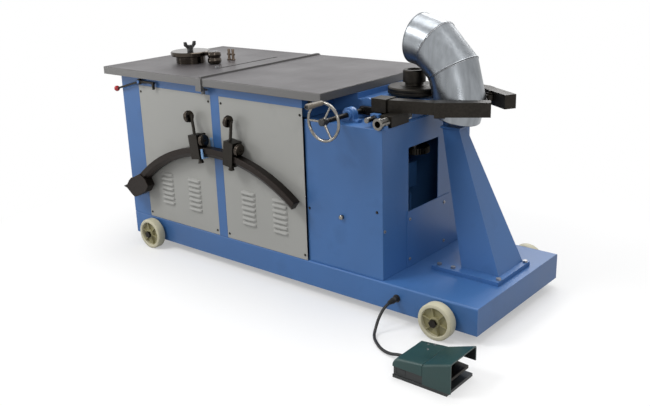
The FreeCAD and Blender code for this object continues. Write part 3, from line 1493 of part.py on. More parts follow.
def foot_switch():
    """Foot switch on the floor: floor plate with its switch box, the hood and the treadle."""
    kink = "pedal_kink"
    body = new_body("pedal_floor")
    outline = polygon(sketch_on(body, "XZ_Plane"), [
        ("0", "0"), ("pedal_length", "0"), ("pedal_length", "pedal_plate"), (kink, "pedal_plate"),
        (kink, "pedal_kink_height"), ("pedal_bevel", "pedal_bevel_height"), ("0", "pedal_box_left_height"),
    ])
    pad(body, outline, "pedal_width", backwards=True)
    inlet = rod("switch_gland", "switch_gland_radius", "switch_gland_length", 0,
                "pedal_front - switch_gland_y", "switch_gland_height", "-X")
    node(move(join("pedal_floor_solid", body, inlet), "pedal_x", "pedal_y"), "pedal_base")

    hood_length = "pedal_length - pedal_kink + pedal_hood_overhang"
    shell = new_body("hood_shell")
    side = [
        ("0", "0"), (hood_length, "0"),
        (hood_length, "pedal_hood_height - pedal_plate"), ("0", "pedal_kink_height - pedal_plate"),
    ]
    pad(shell, polygon(sketch_on(shell, "XZ_Plane"), side), "pedal_width", backwards=True)
    hollow = new_body("hood_hollow")
    inside = [
        ("0 - 1", "0 - 1"), (f"{hood_length} + 1", "0 - 1"),
        (f"{hood_length} + 1", "pedal_hood_height - pedal_plate - pedal_wall"),
        ("0 - 1", "pedal_kink_height - pedal_plate - pedal_wall"),
    ]
    pad(hollow, polygon(sketch_on(hollow, "XZ_Plane"), inside), "pedal_width - 2 * pedal_side", backwards=True)
    move(hollow, 0, "pedal_side", 0)
    pin = rod("treadle_pin", "treadle_pin_radius", "pedal_width - pedal_side", "treadle_pin_setback",
              "pedal_side / 2", "treadle_pin_height - pedal_plate", "Y")
    notch = box("hood_notch", f"{hood_length} - pedal_notch_start + 1", "2 * pedal_side",
                "pedal_notch_height - pedal_plate + 1", "pedal_notch_start", "pedal_width - pedal_side - 1", "0 - 1")
    hood = join("hood", cut("hood_open", shell, hollow, notch), pin)
    node(move(hood, "pedal_x + pedal_kink", "pedal_y", "pedal_plate"), "pedal_hood")

    plate = new_body("treadle_plate")
    start = "treadle_pin_setback - 9"
    wedge_outline = polygon(sketch_on(plate, "XZ_Plane"), [
        (start, "treadle_pin_height - pedal_plate - 8"),
        ("treadle_length", "treadle_pin_height - pedal_plate - 8"),
        ("treadle_length", "treadle_pin_height - pedal_plate + 4"),
        (start, "treadle_pin_height - pedal_plate + 9"),
    ])
    pad(plate, wedge_outline, "pedal_width - 2 * pedal_side - 2 * treadle_gap", backwards=True)
    move(plate, 0, "pedal_side + treadle_gap", 0)
    bore = rod("treadle_bore", "treadle_pin_radius + fit", "pedal_width", "treadle_pin_setback", 0,
               "treadle_pin_height - pedal_plate", "Y")
    node(move(cut("treadle_solid", plate, bore), "pedal_x + pedal_kink", "pedal_y", "pedal_plate"), "treadle")


# Route of the cord from the base's gland to the foot switch, from the base's right front corner
CORD_ROUTE = (
    (-363, -26, 102), (-363, -76, 102), (-371, -112, 60), (-371, -134, 22), (-355, -168, 7),
    (-316, -205, 7), (-270, -236, 7), (-222, -250, 9), (-172, -250, 22), (-128, -250, 22),
)


def cord_path(points):
    """Straight runs joined by arcs, and the arcs' radii."""
    edges = []
    radii = []
    start = points[0]
    for before, corner, after in zip(points, points[1:], points[2:]):
        back = before - corner
        ahead = after - corner
        turn = math.pi - back.getAngle(ahead)
        shorter = min(back.Length, ahead.Length)
        reach = 0.45 * shorter
        radii.append(reach / math.tan(turn / 2))
        back.normalize()
        ahead.normalize()
        inward = (back + ahead).normalize()
        first = corner + back * reach
        last = corner + ahead * reach
        middle = corner + inward * (radii[-1] * (1 / math.cos(turn / 2) - 1))
        edges.append(Part.LineSegment(start, first).toShape())
        edges.append(Part.Arc(first, middle, last).toShape())
        start = last
    edges.append(Part.LineSegment(start, points[-1]).toShape())
    return Part.Wire(edges), radii


def pedal_cord():
    """Free cord along its route, as a round tube."""
    corner = Vector(value("right"), value("front"), 0)
    wire, radii = cord_path([corner + Vector(*point) for point in CORD_ROUTE])
    radius = value("cord_radius")
    first = wire.Edges[0]
    direction = first.tangentAt(first.FirstParameter)
    section = Part.Wire(Part.Circle(first.valueAt(first.FirstParameter), direction, radius).toShape())
    tube = wire.makePipeShell([section], True, False)
    expected = math.pi * radius ** 2 * wire.Length
    print(f"cord: length {wire.Length:.0f} mm, volume ratio {tube.Volume / expected:.4f}")
    print("cord radii:", " ".join(f"{item:.0f}" for item in radii))
    piece = doc.addObject("Part::Feature", "cord")
    piece.Shape = tube
    node(piece, "pedal_cord")


def build():
    base_frame()
    wheel_axles()
    wheels()
    cabinet_frame()
    panels()
    tables()
    table_strip()
    drive_housing()
    deck_box()
    closing_roll()
    gears()
    motor_and_gearbox()
    column()
    inner_roll()
    elbow()
    arm()
    carriage()
    guide_rods()
    screw_blocks()
    handwheel()
    guide_rollers()
    left_station()
    table_fittings()
    control_lever()
    arc_guide()
    guide_hook()
    carrier("left", "left_carrier_angle")
    carrier("right", "right_carrier_angle")
    latch_and_gland()
    foot_switch()
    pedal_cord()
    doc.recompute()


def check_and_write():
    """Stop on any failed object or bad solid, then write one file for each node."""
    failed = [item.Label for item in doc.Objects if {"Invalid", "Error"} & set(item.State)]
    if failed:
        raise ValueError("failed objects: " + ", ".join(failed))
    for item in NODES:
        if item.Shape.isNull() or not item.Shape.isValid() or not item.Shape.Solids:
            raise ValueError("bad shape: " + item.Label)
    os.makedirs("parts", exist_ok=True)
    for item in NODES:
        item.Shape.exportStep(f"parts/{item.Label}.step")
    print(len(NODES), "nodes written")


build()
check_and_write()
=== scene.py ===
import json
import math

import bmesh
import bpy
from mathutils import Matrix, Vector


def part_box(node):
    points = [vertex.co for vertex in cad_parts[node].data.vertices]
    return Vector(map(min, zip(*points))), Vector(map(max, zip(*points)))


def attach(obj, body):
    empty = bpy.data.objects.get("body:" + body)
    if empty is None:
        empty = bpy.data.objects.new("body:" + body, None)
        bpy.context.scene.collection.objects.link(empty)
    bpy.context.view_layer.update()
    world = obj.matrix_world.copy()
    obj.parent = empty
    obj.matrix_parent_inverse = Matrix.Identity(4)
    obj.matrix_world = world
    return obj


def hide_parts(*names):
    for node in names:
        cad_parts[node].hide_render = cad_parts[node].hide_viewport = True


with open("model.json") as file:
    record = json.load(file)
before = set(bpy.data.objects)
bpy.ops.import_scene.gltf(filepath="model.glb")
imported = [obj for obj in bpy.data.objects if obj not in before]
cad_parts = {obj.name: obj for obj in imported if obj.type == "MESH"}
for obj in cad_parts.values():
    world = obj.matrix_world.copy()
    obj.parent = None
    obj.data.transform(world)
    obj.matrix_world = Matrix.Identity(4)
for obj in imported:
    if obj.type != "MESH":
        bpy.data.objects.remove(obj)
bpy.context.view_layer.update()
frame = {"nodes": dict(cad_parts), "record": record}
nodes = frame["nodes"]

# Places are in metres. The base tray's right front corner is where most are measured from.
CORNER = Vector((1.044, -0.2985, 0.0))
FRONT = (0, -1, 0)
ALONG_Y = (0, 1, 0)
WHITE = (1.0, 1.0, 1.0, 1.0)

# Camera, at the photograph's angle
CAMERA_PLACE = Vector((2.4118, -2.7803, 1.5069))
CAMERA_AZIMUTH = math.radians(40.0886)
CAMERA_ELEVATION = math.radians(18.2956)
CAMERA_ROLL = math.radians(-1.8131)
CAMERA_LENS = 45.94
SENSOR_WIDTH = 36.0
NEAREST_SEEN = 0.05

# Route of the foot switch's cord from the corner, in millimetres
CORD_ROUTE = (
    (-363, -26, 102), (-363, -76, 102), (-371, -112, 60), (-371, -134, 22), (-355, -168, 7),
    (-316, -205, 7), (-270, -236, 7), (-222, -250, 9), (-172, -250, 22), (-128, -250, 22),
)
CORD_DIAMETER = 0.012

# Ribbed sleeves at the cord's two ends, in millimetres
GLAND_SLEEVE_LENGTH = 30
SWITCH_SLEEVE_LENGTH = 26
SLEEVE_RADIUS = 12.5
SLEEVE_COLLAR = 3
SLEEVE_RIBS = 5
RIB_RADIUS = 11.4
RIB_TAPER = 3.4
RIB_SHOULDER = 0.6
# Rest of a rib's outline: radius taken off, and distance before the rib's end
RIB_GROOVE = ((0.3, 2.2), (1.9, 1.8), (1.9, 0.2))


def make_camera():
    """Camera at the place and turn that were read from the photograph."""
    data = bpy.data.cameras.new("camera")
    data.lens = CAMERA_LENS
    data.sensor_width = SENSOR_WIDTH
    data.clip_start = NEAREST_SEEN
    camera = bpy.data.objects.new("camera", data)
    bpy.context.scene.collection.objects.link(camera)
    back = Vector((
        math.sin(CAMERA_AZIMUTH) * math.cos(CAMERA_ELEVATION),
        -math.cos(CAMERA_AZIMUTH) * math.cos(CAMERA_ELEVATION),
        math.sin(CAMERA_ELEVATION),
    ))
    right = Vector((math.cos(CAMERA_AZIMUTH), math.sin(CAMERA_AZIMUTH), 0.0))
    turn = Matrix((right, back.cross(right), back)).transposed()
    turn = Matrix.Rotation(CAMERA_ROLL, 3, back) @ turn
    camera.matrix_world = Matrix.Translation(CAMERA_PLACE) @ turn.to_4x4()
    bpy.context.scene.camera = camera


def link(obj, body, *materials):
    """Put a finished piece in the scene, on its body."""
    bpy.context.scene.collection.objects.link(obj)
    for material in materials:
        obj.data.materials.append(material)
    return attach(obj, body)


def stand_for(obj, node, body, *materials):
    """Put a finished piece in the scene, in the place of a CAD node."""
    link(obj, body, *materials)
    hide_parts(node)


def round_curve(name, points, kind, radius, resolution):
    """Round curve along some points, and its spline."""
    curve = bpy.data.curves.new(name, "CURVE")
    curve.dimensions = "3D"
    curve.bevel_depth = radius
    curve.bevel_resolution = resolution
    spline = curve.splines.new(kind)
    spline.points.add(len(points) - 1)
    for spot, point in zip(spline.points, points):
        spot.co = (*point, 1.0)
    return curve, spline


def strain_relief(name, tip, way, length, material):
    """Ribbed sleeve that tapers from the housing to the cord."""
    bore = CORD_DIAMETER * 500
    pitch = (length - SLEEVE_COLLAR) / SLEEVE_RIBS
    profile = [(bore, 0), (SLEEVE_RADIUS, 0), (SLEEVE_RADIUS, SLEEVE_COLLAR)]
    for rib in range(SLEEVE_RIBS):
        low = SLEEVE_COLLAR + pitch * rib
        high = low + pitch
        radius = RIB_RADIUS - RIB_TAPER * rib / SLEEVE_RIBS
        profile.append((radius, low + RIB_SHOULDER))
        profile += [(radius - less, high - before) for less, before in RIB_GROOVE]
    profile += [(bore + 0.5, length), (bore, length)]
    return link(lathe(name, profile, tip, way, segments=32), "frame", material)


def make_cord(material):
    """Cord of the foot switch with its two sleeves."""
    points = [CORNER + Vector(point) / 1000 for point in CORD_ROUTE]
    reliefs = [
        strain_relief("gland_sleeve", points[0], points[1] - points[0], GLAND_SLEEVE_LENGTH, material),
        strain_relief("switch_sleeve", points[-1], points[-2] - points[-1], SWITCH_SLEEVE_LENGTH, material),
    ]
    curve, spline = round_curve("pedal_cord_sheath", points, "NURBS", CORD_DIAMETER / 2, 4)
    spline.order_u = 3
    spline.use_endpoint_u = True
    spline.resolution_u = 12
    cord = link(bpy.data.objects.new("pedal_cord_sheath", curve), "frame", material)
    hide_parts("pedal_cord")


class NodeTree:
    """Adds nodes to a tree. An input is a plain value or the output of another node."""

    def __init__(self, tree):
        self.tree = tree

    def add(self, kind, setting=(), **inputs):
        made = self.tree.nodes.new(kind)
        for name, value in dict(setting).items():
            setattr(made, name, value)
        for name, value in inputs.items():
            self.feed(made.inputs[name.replace("_", " ")], value)
        return made

    def feed(self, socket, value):
        if isinstance(value, bpy.types.NodeSocket):
            self.tree.links.new(value, socket)
        else:
            socket.default_value = value

    def maths(self, operation, *values):
        made = self.add("ShaderNodeMath", {"operation": operation})
        for socket, value in zip(made.inputs, values):
            self.feed(socket, value)
        return made.outputs[0]

    def steps(self, factor, low, high, low_value=0.0, high_value=1.0):
        """Ramp a factor from one level to another."""
        made = self.add("ShaderNodeMapRange", Value=factor, From_Min=low, From_Max=high, To_Min=low_value,
                        To_Max=high_value)
        return made.outputs["Result"]

    def seen(self):
        """1 for the camera and for reflections, and 0 for light that bounces off."""
        path = self.add("ShaderNodeLightPath").outputs
        seen = path["Is Camera Ray"]
        for name in ("Is Glossy Ray", "Is Transmission Ray"):
            seen = self.maths("MAXIMUM", seen, path[name])
        return seen


class Recipe(NodeTree):
    """Builds one material's node tree."""

    def __init__(self, name):
        self.material = bpy.data.materials.new(name)
        self.material.use_nodes = True
        super().__init__(self.material.node_tree)
        self.shader = self.tree.nodes["Principled BSDF"]
        self.place = self.add("ShaderNodeTexCoord").outputs["Object"]

    def noise(self, scale, detail=4.0, stretch=(1.0, 1.0, 1.0)):
        mapping = self.add("ShaderNodeMapping", Vector=self.place, Scale=stretch)
        made = self.add("ShaderNodeTexNoise", Vector=mapping.outputs["Vector"], Scale=scale, Detail=detail)
        return made.outputs["Fac"]

    def mix(self, factor, first, second):
        """Blend two colours."""
        made = self.add("ShaderNodeMix", {"data_type": "RGBA"})
        for socket, value in ((0, factor), (6, first), (7, second)):
            self.feed(made.inputs[socket], value)
        return made.outputs[2]

    def bump(self, height, strength, distance):
        made = self.add("ShaderNodeBump", Strength=strength, Distance=distance, Height=height)
        self.set(Normal=made.outputs["Normal"])

    def set(self, **inputs):
        for name, value in inputs.items():
            self.feed(self.shader.inputs[name.replace("_", " ")], value)

    def part(self, socket, axis):
        """One axis of a vector."""
        return self.add("ShaderNodeSeparateXYZ", Vector=socket).outputs[axis]

    def facing(self, axis):
        """How squarely the surface faces along an axis of the object, from 0 to 1."""
        normal = self.add("ShaderNodeTexCoord").outputs["Normal"]
        return self.maths("ABSOLUTE", self.part(normal, axis))

    def fade_to_white(self, near, far, least):
        """Turn plain white away from the object, for the camera and for reflections only."""
        reach = self.add("ShaderNodeVectorMath", {"operation": "LENGTH"})
        self.feed(reach.inputs[0], self.place)
        share = self.maths("MULTIPLY", self.seen(), self.steps(reach.outputs["Value"], near, far, least, 1.0))
        white = self.add("ShaderNodeEmission", Color=WHITE, Strength=1.0)
        blend = self.add("ShaderNodeMixShader")
        for socket, value in zip(blend.inputs, (share, self.shader.outputs[0], white.outputs[0])):
            self.feed(socket, value)
        self.feed(self.tree.nodes["Material Output"].inputs["Surface"], blend.outputs[0])


def linear(red, green, blue):
    """A colour from eight-bit screen values."""
    def channel(value):
        value /= 255
        return value / 12.92 if value <= 0.04045 else ((value + 0.055) / 1.055) ** 2.4
    return (channel(red), channel(green), channel(blue), 1.0)


def shade(colour, factor):
    return (colour[0] * factor, colour[1] * factor, colour[2] * factor, 1.0)


def paint(name, colour, roughness, mottle=0.12, orange_peel=0.15, dirt=0.25):
    """Sprayed paint: cloudy colour, faint orange peel and grime in patches."""
    recipe = Recipe(name)
    cloud = recipe.steps(recipe.noise(2.2, detail=3.0), 0.3, 0.7)
    base = recipe.mix(cloud, shade(colour, 1 - mottle), shade(colour, 1 + mottle))
    grime = recipe.steps(recipe.noise(9.0, detail=8.0), 0.58, 0.78, 0.0, dirt)
    recipe.set(Base_Color=recipe.mix(grime, base, shade(colour, 0.45)),
               Roughness=recipe.steps(cloud, 0.0, 1.0, roughness - 0.05, roughness + 0.06))
    recipe.bump(recipe.noise(260.0, detail=2.0), strength=orange_peel, distance=0.0006)
    return recipe.material


def metal(name, colour, roughness, stretch=(1.0, 1.0, 1.0), scale=120.0, streak=0.15, metallic=1.0):
    """Bare or blackened metal with a drawn grain along the axes where stretch is small."""
    recipe = Recipe(name)
    grain = recipe.noise(scale, detail=3.0, stretch=stretch)
    cloud = recipe.noise(5.0, detail=5.0)
    tint = recipe.mix(recipe.steps(grain, 0.35, 0.65), shade(colour, 1 - streak), shade(colour, 1 + streak))
    stain = recipe.steps(cloud, 0.5, 0.75, 0.0, 0.5)
    recipe.set(Base_Color=recipe.mix(stain, tint, shade(colour, 0.6)), Metallic=metallic,
               Roughness=recipe.steps(cloud, 0.3, 0.7, roughness - 0.07, roughness + 0.09))
    recipe.bump(grain, strength=0.12, distance=0.0004)
    return recipe.material


def plastic(name, colour, roughness, grain=0.2):
    """Moulded plastic or rubber with a fine grain."""
    recipe = Recipe(name)
    cloud = recipe.steps(recipe.noise(14.0, detail=5.0), 0.35, 0.7)
    recipe.set(Base_Color=recipe.mix(cloud, shade(colour, 0.88), shade(colour, 1.08)),
               Roughness=recipe.steps(cloud, 0.0, 1.0, roughness, roughness + 0.1))
    recipe.bump(recipe.noise(420.0, detail=2.0), strength=grain, distance=0.0004)
    return recipe.material


def planed_steel(name, top, edge, roughness, metallic):
    """Scraped table top with faint swirls; its upright faces are brighter, partly a ground edge and partly a
    painted highlight.
    """
    recipe = Recipe(name)
    grain = recipe.noise(55.0, stretch=(1.0, 0.08, 1.0))
    cloud = recipe.noise(3.2, detail=6.0)
    face = recipe.mix(recipe.steps(grain, 0.3, 0.7), shade(top, 0.88), shade(top, 1.1))
    face = recipe.mix(recipe.steps(cloud, 0.45, 0.8, 0.0, 0.5), face, shade(top, 0.62))
    # Upright faces take the brighter edge colour: partly ground steel, partly a painted highlight of the lit
    # edge
    upright = recipe.steps(recipe.facing("Z"), 0.9, 0.6)
    recipe.set(Base_Color=recipe.mix(upright, face, edge), Metallic=metallic,
               Roughness=recipe.steps(cloud, 0.3, 0.75, roughness - 0.06, roughness + 0.1))
    recipe.bump(grain, strength=0.1, distance=0.0003)
    return recipe.material


def moulded_iron(name, colour, sole, level):
    """Painted casting on a dark rubber sole below a level."""
    recipe = Recipe(name)
    cloud = recipe.steps(recipe.noise(6.0), 0.3, 0.7)
    body = recipe.mix(cloud, shade(colour, 0.82), shade(colour, 1.15))
    low = recipe.steps(recipe.part(recipe.place, "Z"), level + 0.0004, level)
    recipe.set(Base_Color=recipe.mix(low, body, sole), Roughness=recipe.steps(cloud, 0.0, 1.0, 0.34, 0.46))
    recipe.bump(recipe.noise(520.0, detail=2.0), strength=0.35, distance=0.0005)
    return recipe.material


# Finishes by the names of the record's material slots
FINISHES = {
    "blue_paint": paint("blue_paint", linear(60, 104, 160), 0.42),
    "grey_paint": paint("grey_paint", linear(163, 163, 159), 0.5, mottle=0.05, dirt=0.15),
    # The table's second colour, for its upright faces, is partly a painted highlight
    "table_steel": planed_steel("table_steel", linear(80, 77, 79), linear(106, 105, 104), 0.4, metallic=0.4),
    "black_oxide": metal("black_oxide", linear(44, 41, 37), 0.42, metallic=0.9),
    "steel": metal("steel", linear(150, 150, 152), 0.36),
    "chrome": metal("chrome", linear(128, 125, 120), 0.2, streak=0.2),
    "galvanised": metal("galvanised", linear(138, 142, 146), 0.32, stretch=(1.0, 1.0, 0.08), scale=60.0,
                        streak=0.1),
    "cream_plastic": plastic("cream_plastic", linear(203, 198, 172), 0.45),
    "black_plastic": plastic("black_plastic", linear(30, 29, 29), 0.4),
    "teal_paint": moulded_iron("teal_paint", linear(24, 58, 56), linear(20, 21, 21), level=0.0125),
    "red_plastic": plastic("red_plastic", linear(190, 36, 42), 0.22, grain=0.05),
    "light_blue": paint("light_blue", linear(120, 160, 205), 0.4),
    "brown_steel": metal("brown_steel", linear(112, 98, 86), 0.4, metallic=0.8),
    "black_rubber": plastic("black_rubber", linear(24, 24, 25), 0.55),
    "grey_iron": paint("grey_iron", linear(120, 122, 122), 0.6, orange_peel=0.8),
}
ARC_STEEL = metal("arc_steel", linear(44, 39, 36), 0.45, metallic=0.9)
# Dark finish of the switch's floor plate and box, also used as painted shade inside the hood
SOLE_AND_HOOD_SHADE = plastic("switch_sole", linear(28, 32, 32), 0.42, grain=0.4)
# Darker colour of the wheels' dish and ribs: partly its own olive tone, partly painted shade of the recess
DISH_TONE_AND_SHADE = plastic("wheel_dish", linear(150, 144, 108), 0.5)
GRIP = plastic("grip_bakelite", linear(120, 112, 100), 0.35)
ROLLER_STEEL = metal("roller_steel", linear(70, 64, 58), 0.16, streak=0.05)

# Pieces that look better in another finish than that of their slot
OTHER_FINISHES = (
    (FINISHES["blue_paint"], ("motor", "gearbox")),
    (ROLLER_STEEL, ("forming_disc",)),
    (FINISHES["black_oxide"], ("pinion", "spindle_gear", "wheel_axles", "lead_screw")),
)


def dress_nodes():
    """Give each CAD piece the finish that its record names, or the one chosen above."""
    for part in frame["record"]["subparts"]:
        materials = nodes[part["node"]].data.materials
        materials.clear()
        materials.append(FINISHES[part["material_slot"]])
    for finish, names in OTHER_FINISHES:
        for name in names:
            nodes[name].data.materials[0] = finish


def middle(node):
    """Centre of a CAD node's box."""
    low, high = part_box(node)
    return (low + high) / 2


def underside(node):
    """Centre of the underside of a CAD node's box."""
    low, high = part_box(node)
    return Vector(((low.x + high.x) / 2, (low.y + high.y) / 2, low.z))


def finish_mesh(name, shape, smooth=35.0):
    """A mesh object from a bmesh, smooth except at its edges."""
    bmesh.ops.recalc_face_normals(shape, faces=shape.faces)
    mesh = bpy.data.meshes.new(name)
    shape.to_mesh(mesh)
    shape.free()
    for face in mesh.polygons:
        face.use_smooth = True
    mesh.set_sharp_from_angle(angle=math.radians(smooth))
    return bpy.data.objects.new(name, mesh)


BEVEL_ANGLE = math.radians(34)


def round_edges(obj, width, segments=2):
    """Bevel the sharp edges of a piece."""
    bevel = obj.modifiers.new("edges", "BEVEL")
    bevel.width = width
    bevel.segments = segments
    bevel.limit_method = "ANGLE"
    bevel.angle_limit = BEVEL_ANGLE
    bevel.harden_normals = True
    return obj


def aimed(axis):
    """Rotation that takes +Z to an axis."""
    return Vector(axis).to_track_quat("Z", "Y").to_matrix()


def add_lathe(shape, profile, centre, axis=(0, 0, 1), segments=64):
    """Add a turned solid from (radius, height) points in millimetres along the axis."""
    turn = aimed(axis)
    rings = []
    for radius, height in profile:
        if radius < 1e-6:
            rings.append([shape.verts.new(Vector(centre) + turn @ Vector((0, 0, height / 1000)))])
            continue
        ring = []
        for step in range(segments):
            angle = math.tau * step / segments
            spot = Vector((radius * math.cos(angle), radius * math.sin(angle), height)) / 1000
            ring.append(shape.verts.new(Vector(centre) + turn @ spot))
        rings.append(ring)
    loops = list(zip(rings, rings[1:]))
    if len(rings[0]) > 1 or len(rings[-1]) > 1:
        loops.append((rings[-1], rings[0]))
    for first, second in loops:
        for step in range(segments):
            after = (step + 1) % segments
            corners = [first[step % len(first)], first[after % len(first)],
                       second[after % len(second)], second[step % len(second)]]
            corners = list(dict.fromkeys(corners))
            if len(corners) > 2:
                shape.faces.new(corners)


def lathe(name, profile, centre, axis=(0, 0, 1), segments=64):
    """A turned piece from one profile."""
    shape = bmesh.new()
    add_lathe(shape, profile, centre, axis, segments)
    return finish_mesh(name, shape)


def add_box(shape, low, high, turn=None, about=None):
    """Add a box between two corners, turned about a point if asked."""
    corners = []
    for x in (low[0], high[0]):
        for y in (low[1], high[1]):
            for z in (low[2], high[2]):
                spot = Vector((x, y, z))
                if turn is not None:
                    spot = Vector(about) + turn @ (spot - Vector(about))
                corners.append(shape.verts.new(spot))
    for face in ((0, 1, 3, 2), (4, 6, 7, 5), (0, 4, 5, 1), (2, 3, 7, 6), (0, 2, 6, 4), (1, 5, 7, 3)):
        shape.faces.new([corners[index] for index in face])


def loft(shape, sections):
    """Join rings of as many points each into a closed skin."""
    rings = [[shape.verts.new(spot) for spot in ring] for ring in sections]
    for first, second in zip(rings, rings[1:]):
        for step in range(len(first)):
            after = (step + 1) % len(first)
            shape.faces.new([first[step], first[after], second[after], second[step]])
    shape.faces.new(rings[0])
    shape.faces.new(list(reversed(rings[-1])))


def colour_faces(shape, start, index):
    """Give the faces made since a count the piece's material of that number."""
    shape.faces.ensure_lookup_table()
    for face in shape.faces[start:]:
        face.material_index = index


# Carried-over pieces whose edges are rounded, by the width of the bevel
SOFT_EDGES = (
    (0.0022, ("base_frame", "drive_housing", "deck_box")),
    (0.0030, ("right_table", "treadle")),
    (0.0010, ("table_strip", "front_panel_left", "front_panel_right", "column", "column_foot",
              "housing_cover")),
    (0.0012, ("front_carriage", "back_carriage", "front_arm", "back_arm", "screw_blocks", "left_carrier",
              "right_carrier", "roller_slide", "guide_clamp")),
)
WELD_DISTANCE = 0.00002


def soften_edges():
    """Round the edges of carried-over pieces a little."""
    for width, names in SOFT_EDGES:
        for name in names:
            weld = nodes[name].modifiers.new("weld", "WELD")
            weld.merge_threshold = WELD_DISTANCE
            round_edges(nodes[name], width)


class Pattern(NodeTree):
    """Builds a geometry tree with named inputs, and grows pieces from points with it."""

    def __init__(self, name, **inputs):
        super().__init__(bpy.data.node_groups.new(name, "GeometryNodeTree"))
        interface = self.tree.interface
        interface.new_socket("Geometry", in_out="INPUT", socket_type="NodeSocketGeometry")
        self.inputs = {
            label: interface.new_socket(label, in_out="INPUT", socket_type=kind)
            for label, kind in inputs.items()
        }
        interface.new_socket("Geometry", in_out="OUTPUT", socket_type="NodeSocketGeometry")
        self.given = self.tree.nodes.new("NodeGroupInput").outputs
        self.result = self.tree.nodes.new("NodeGroupOutput").inputs[0]

    def join(self, *pieces):
        made = self.tree.nodes.new("GeometryNodeJoinGeometry")
        for piece in reversed(pieces):
            self.tree.links.new(piece, made.inputs[0])
        return made.outputs[0]

    def grow(self, name, places, aim, body, **values):
        """A plain mesh grown from points that all aim one way, on a body."""
        mesh = bpy.data.meshes.new(f"{name}_points")
        mesh.from_pydata(places, [], [])
        aims = mesh.attributes.new("aim", "FLOAT_VECTOR", "POINT")
        for item in aims.data:
            item.vector = aim
        obj = bpy.data.objects.new(name, mesh)
        bpy.context.scene.collection.objects.link(obj)
        modifier = obj.modifiers.new("pattern", "NODES")
        modifier.node_group = self.tree
        for label, value in values.items():
            modifier[self.inputs[label].identifier] = value
        depsgraph = bpy.context.evaluated_depsgraph_get()
        grown = bpy.data.meshes.new_from_object(obj.evaluated_get(depsgraph), depsgraph=depsgraph)
        obj.modifiers.remove(modifier)
        obj.data = grown
        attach(obj, body)


SCREW_SIDES = 20
HOUSING_FRONT = CORNER.y + 0.010
# Screws by group: name, places, way out, radius, height and finish
SCREW_GROUPS = (
    ("switch_screws", ((0.968, -0.5135, 0.0806), (0.990, -0.5515, 0.0832), (0.993, -0.5085, 0.0836)),
     (-0.118, 0.0, 0.993), 0.0035, 0.002, "steel"),
    ("housing_screws", ((0.580, HOUSING_FRONT, 0.440), (0.229, HOUSING_FRONT, 0.392)),
     FRONT, 0.0045, 0.003, "black_oxide"),
    ("wall_screws", ((0.611, -0.103, 0.365), (0.611, 0.160, 0.367), (0.608, -0.276, 0.361),
                     (0.611, -0.103, 0.190), (0.611, 0.160, 0.190)),
     (1, 0, 0), 0.0055, 0.0035, "steel"),
)


def screw_pattern():
    """Socket screws with a rounded shoulder on a thin washer, one at each point; a flat dark hexagon on the
    head is painted shade of the socket's recess.
    """
    pattern = Pattern("socket_screws", Radius="NodeSocketFloat", Height="NodeSocketFloat",
                      Metal="NodeSocketMaterial", Socket="NodeSocketMaterial")

    def wide(share):
        return pattern.maths("MULTIPLY", pattern.given["Radius"], share)

    def high(share):
        return pattern.maths("MULTIPLY", pattern.given["Height"], share)

    def lifted(piece, share):
        lift = pattern.add("ShaderNodeCombineXYZ", Z=high(share))
        made = pattern.add("GeometryNodeTransform", Geometry=piece.outputs["Mesh"],
                           Translation=lift.outputs[0])
        return made.outputs[0]

    def disc(sides, width, thickness):
        return pattern.add("GeometryNodeMeshCylinder", Vertices=sides, Radius=wide(width),
                           Depth=high(thickness))

    washer = disc(SCREW_SIDES, 1.35, 0.3)
    head = disc(SCREW_SIDES, 1.0, 1.0)
    hexagon = disc(6, 0.5, 0.1)
    shoulder = pattern.add("GeometryNodeMeshCone", Vertices=SCREW_SIDES, Radius_Bottom=wide(1.0),
                           Radius_Top=wide(0.82), Depth=high(0.2))
    screw = pattern.join(washer.outputs["Mesh"], lifted(head, 0.5), lifted(shoulder, 1.0))
    bright = pattern.add("GeometryNodeSetMaterial", Material=pattern.given["Metal"], Geometry=screw)
    # Flat hexagon in the dark finish on the head: painted shade of the screw's socket recess
    dark = pattern.add("GeometryNodeSetMaterial", Material=pattern.given["Socket"],
                       Geometry=lifted(hexagon, 1.17))
    aim = pattern.add("GeometryNodeInputNamedAttribute", {"data_type": "FLOAT_VECTOR"}, Name="aim")
    turn = pattern.add("FunctionNodeAlignRotationToVector", {"axis": "Z"}, Vector=aim.outputs["Attribute"])
    placed = pattern.add("GeometryNodeInstanceOnPoints", Points=pattern.given["Geometry"],
                         Instance=pattern.join(bright.outputs[0], dark.outputs[0]), Rotation=turn.outputs[0])
    real = pattern.add("GeometryNodeRealizeInstances", Geometry=placed.outputs[0])
    pattern.feed(pattern.result, real.outputs[0])
    return pattern


# Two columns of louvres on each front panel
LOUVRE_PITCH = 0.024
LOUVRE_ROWS = 7
LOUVRE_FOOT = 0.0935
LOUVRE_COLUMN = 0.084
LOUVRE_SIZE = {"Length": 0.0862, "Height": 0.0135, "Depth": 0.0092}
LOUVRE_STEPS = 21
LOUVRE_CROWN = 1.6
LOUVRE_ENDS = 10.0
PANEL_SHEET = 0.0020
SCREW_INSET = 0.013
SCREW_FROM_FOOT = 0.022
SCREW_FROM_TOP = 0.030


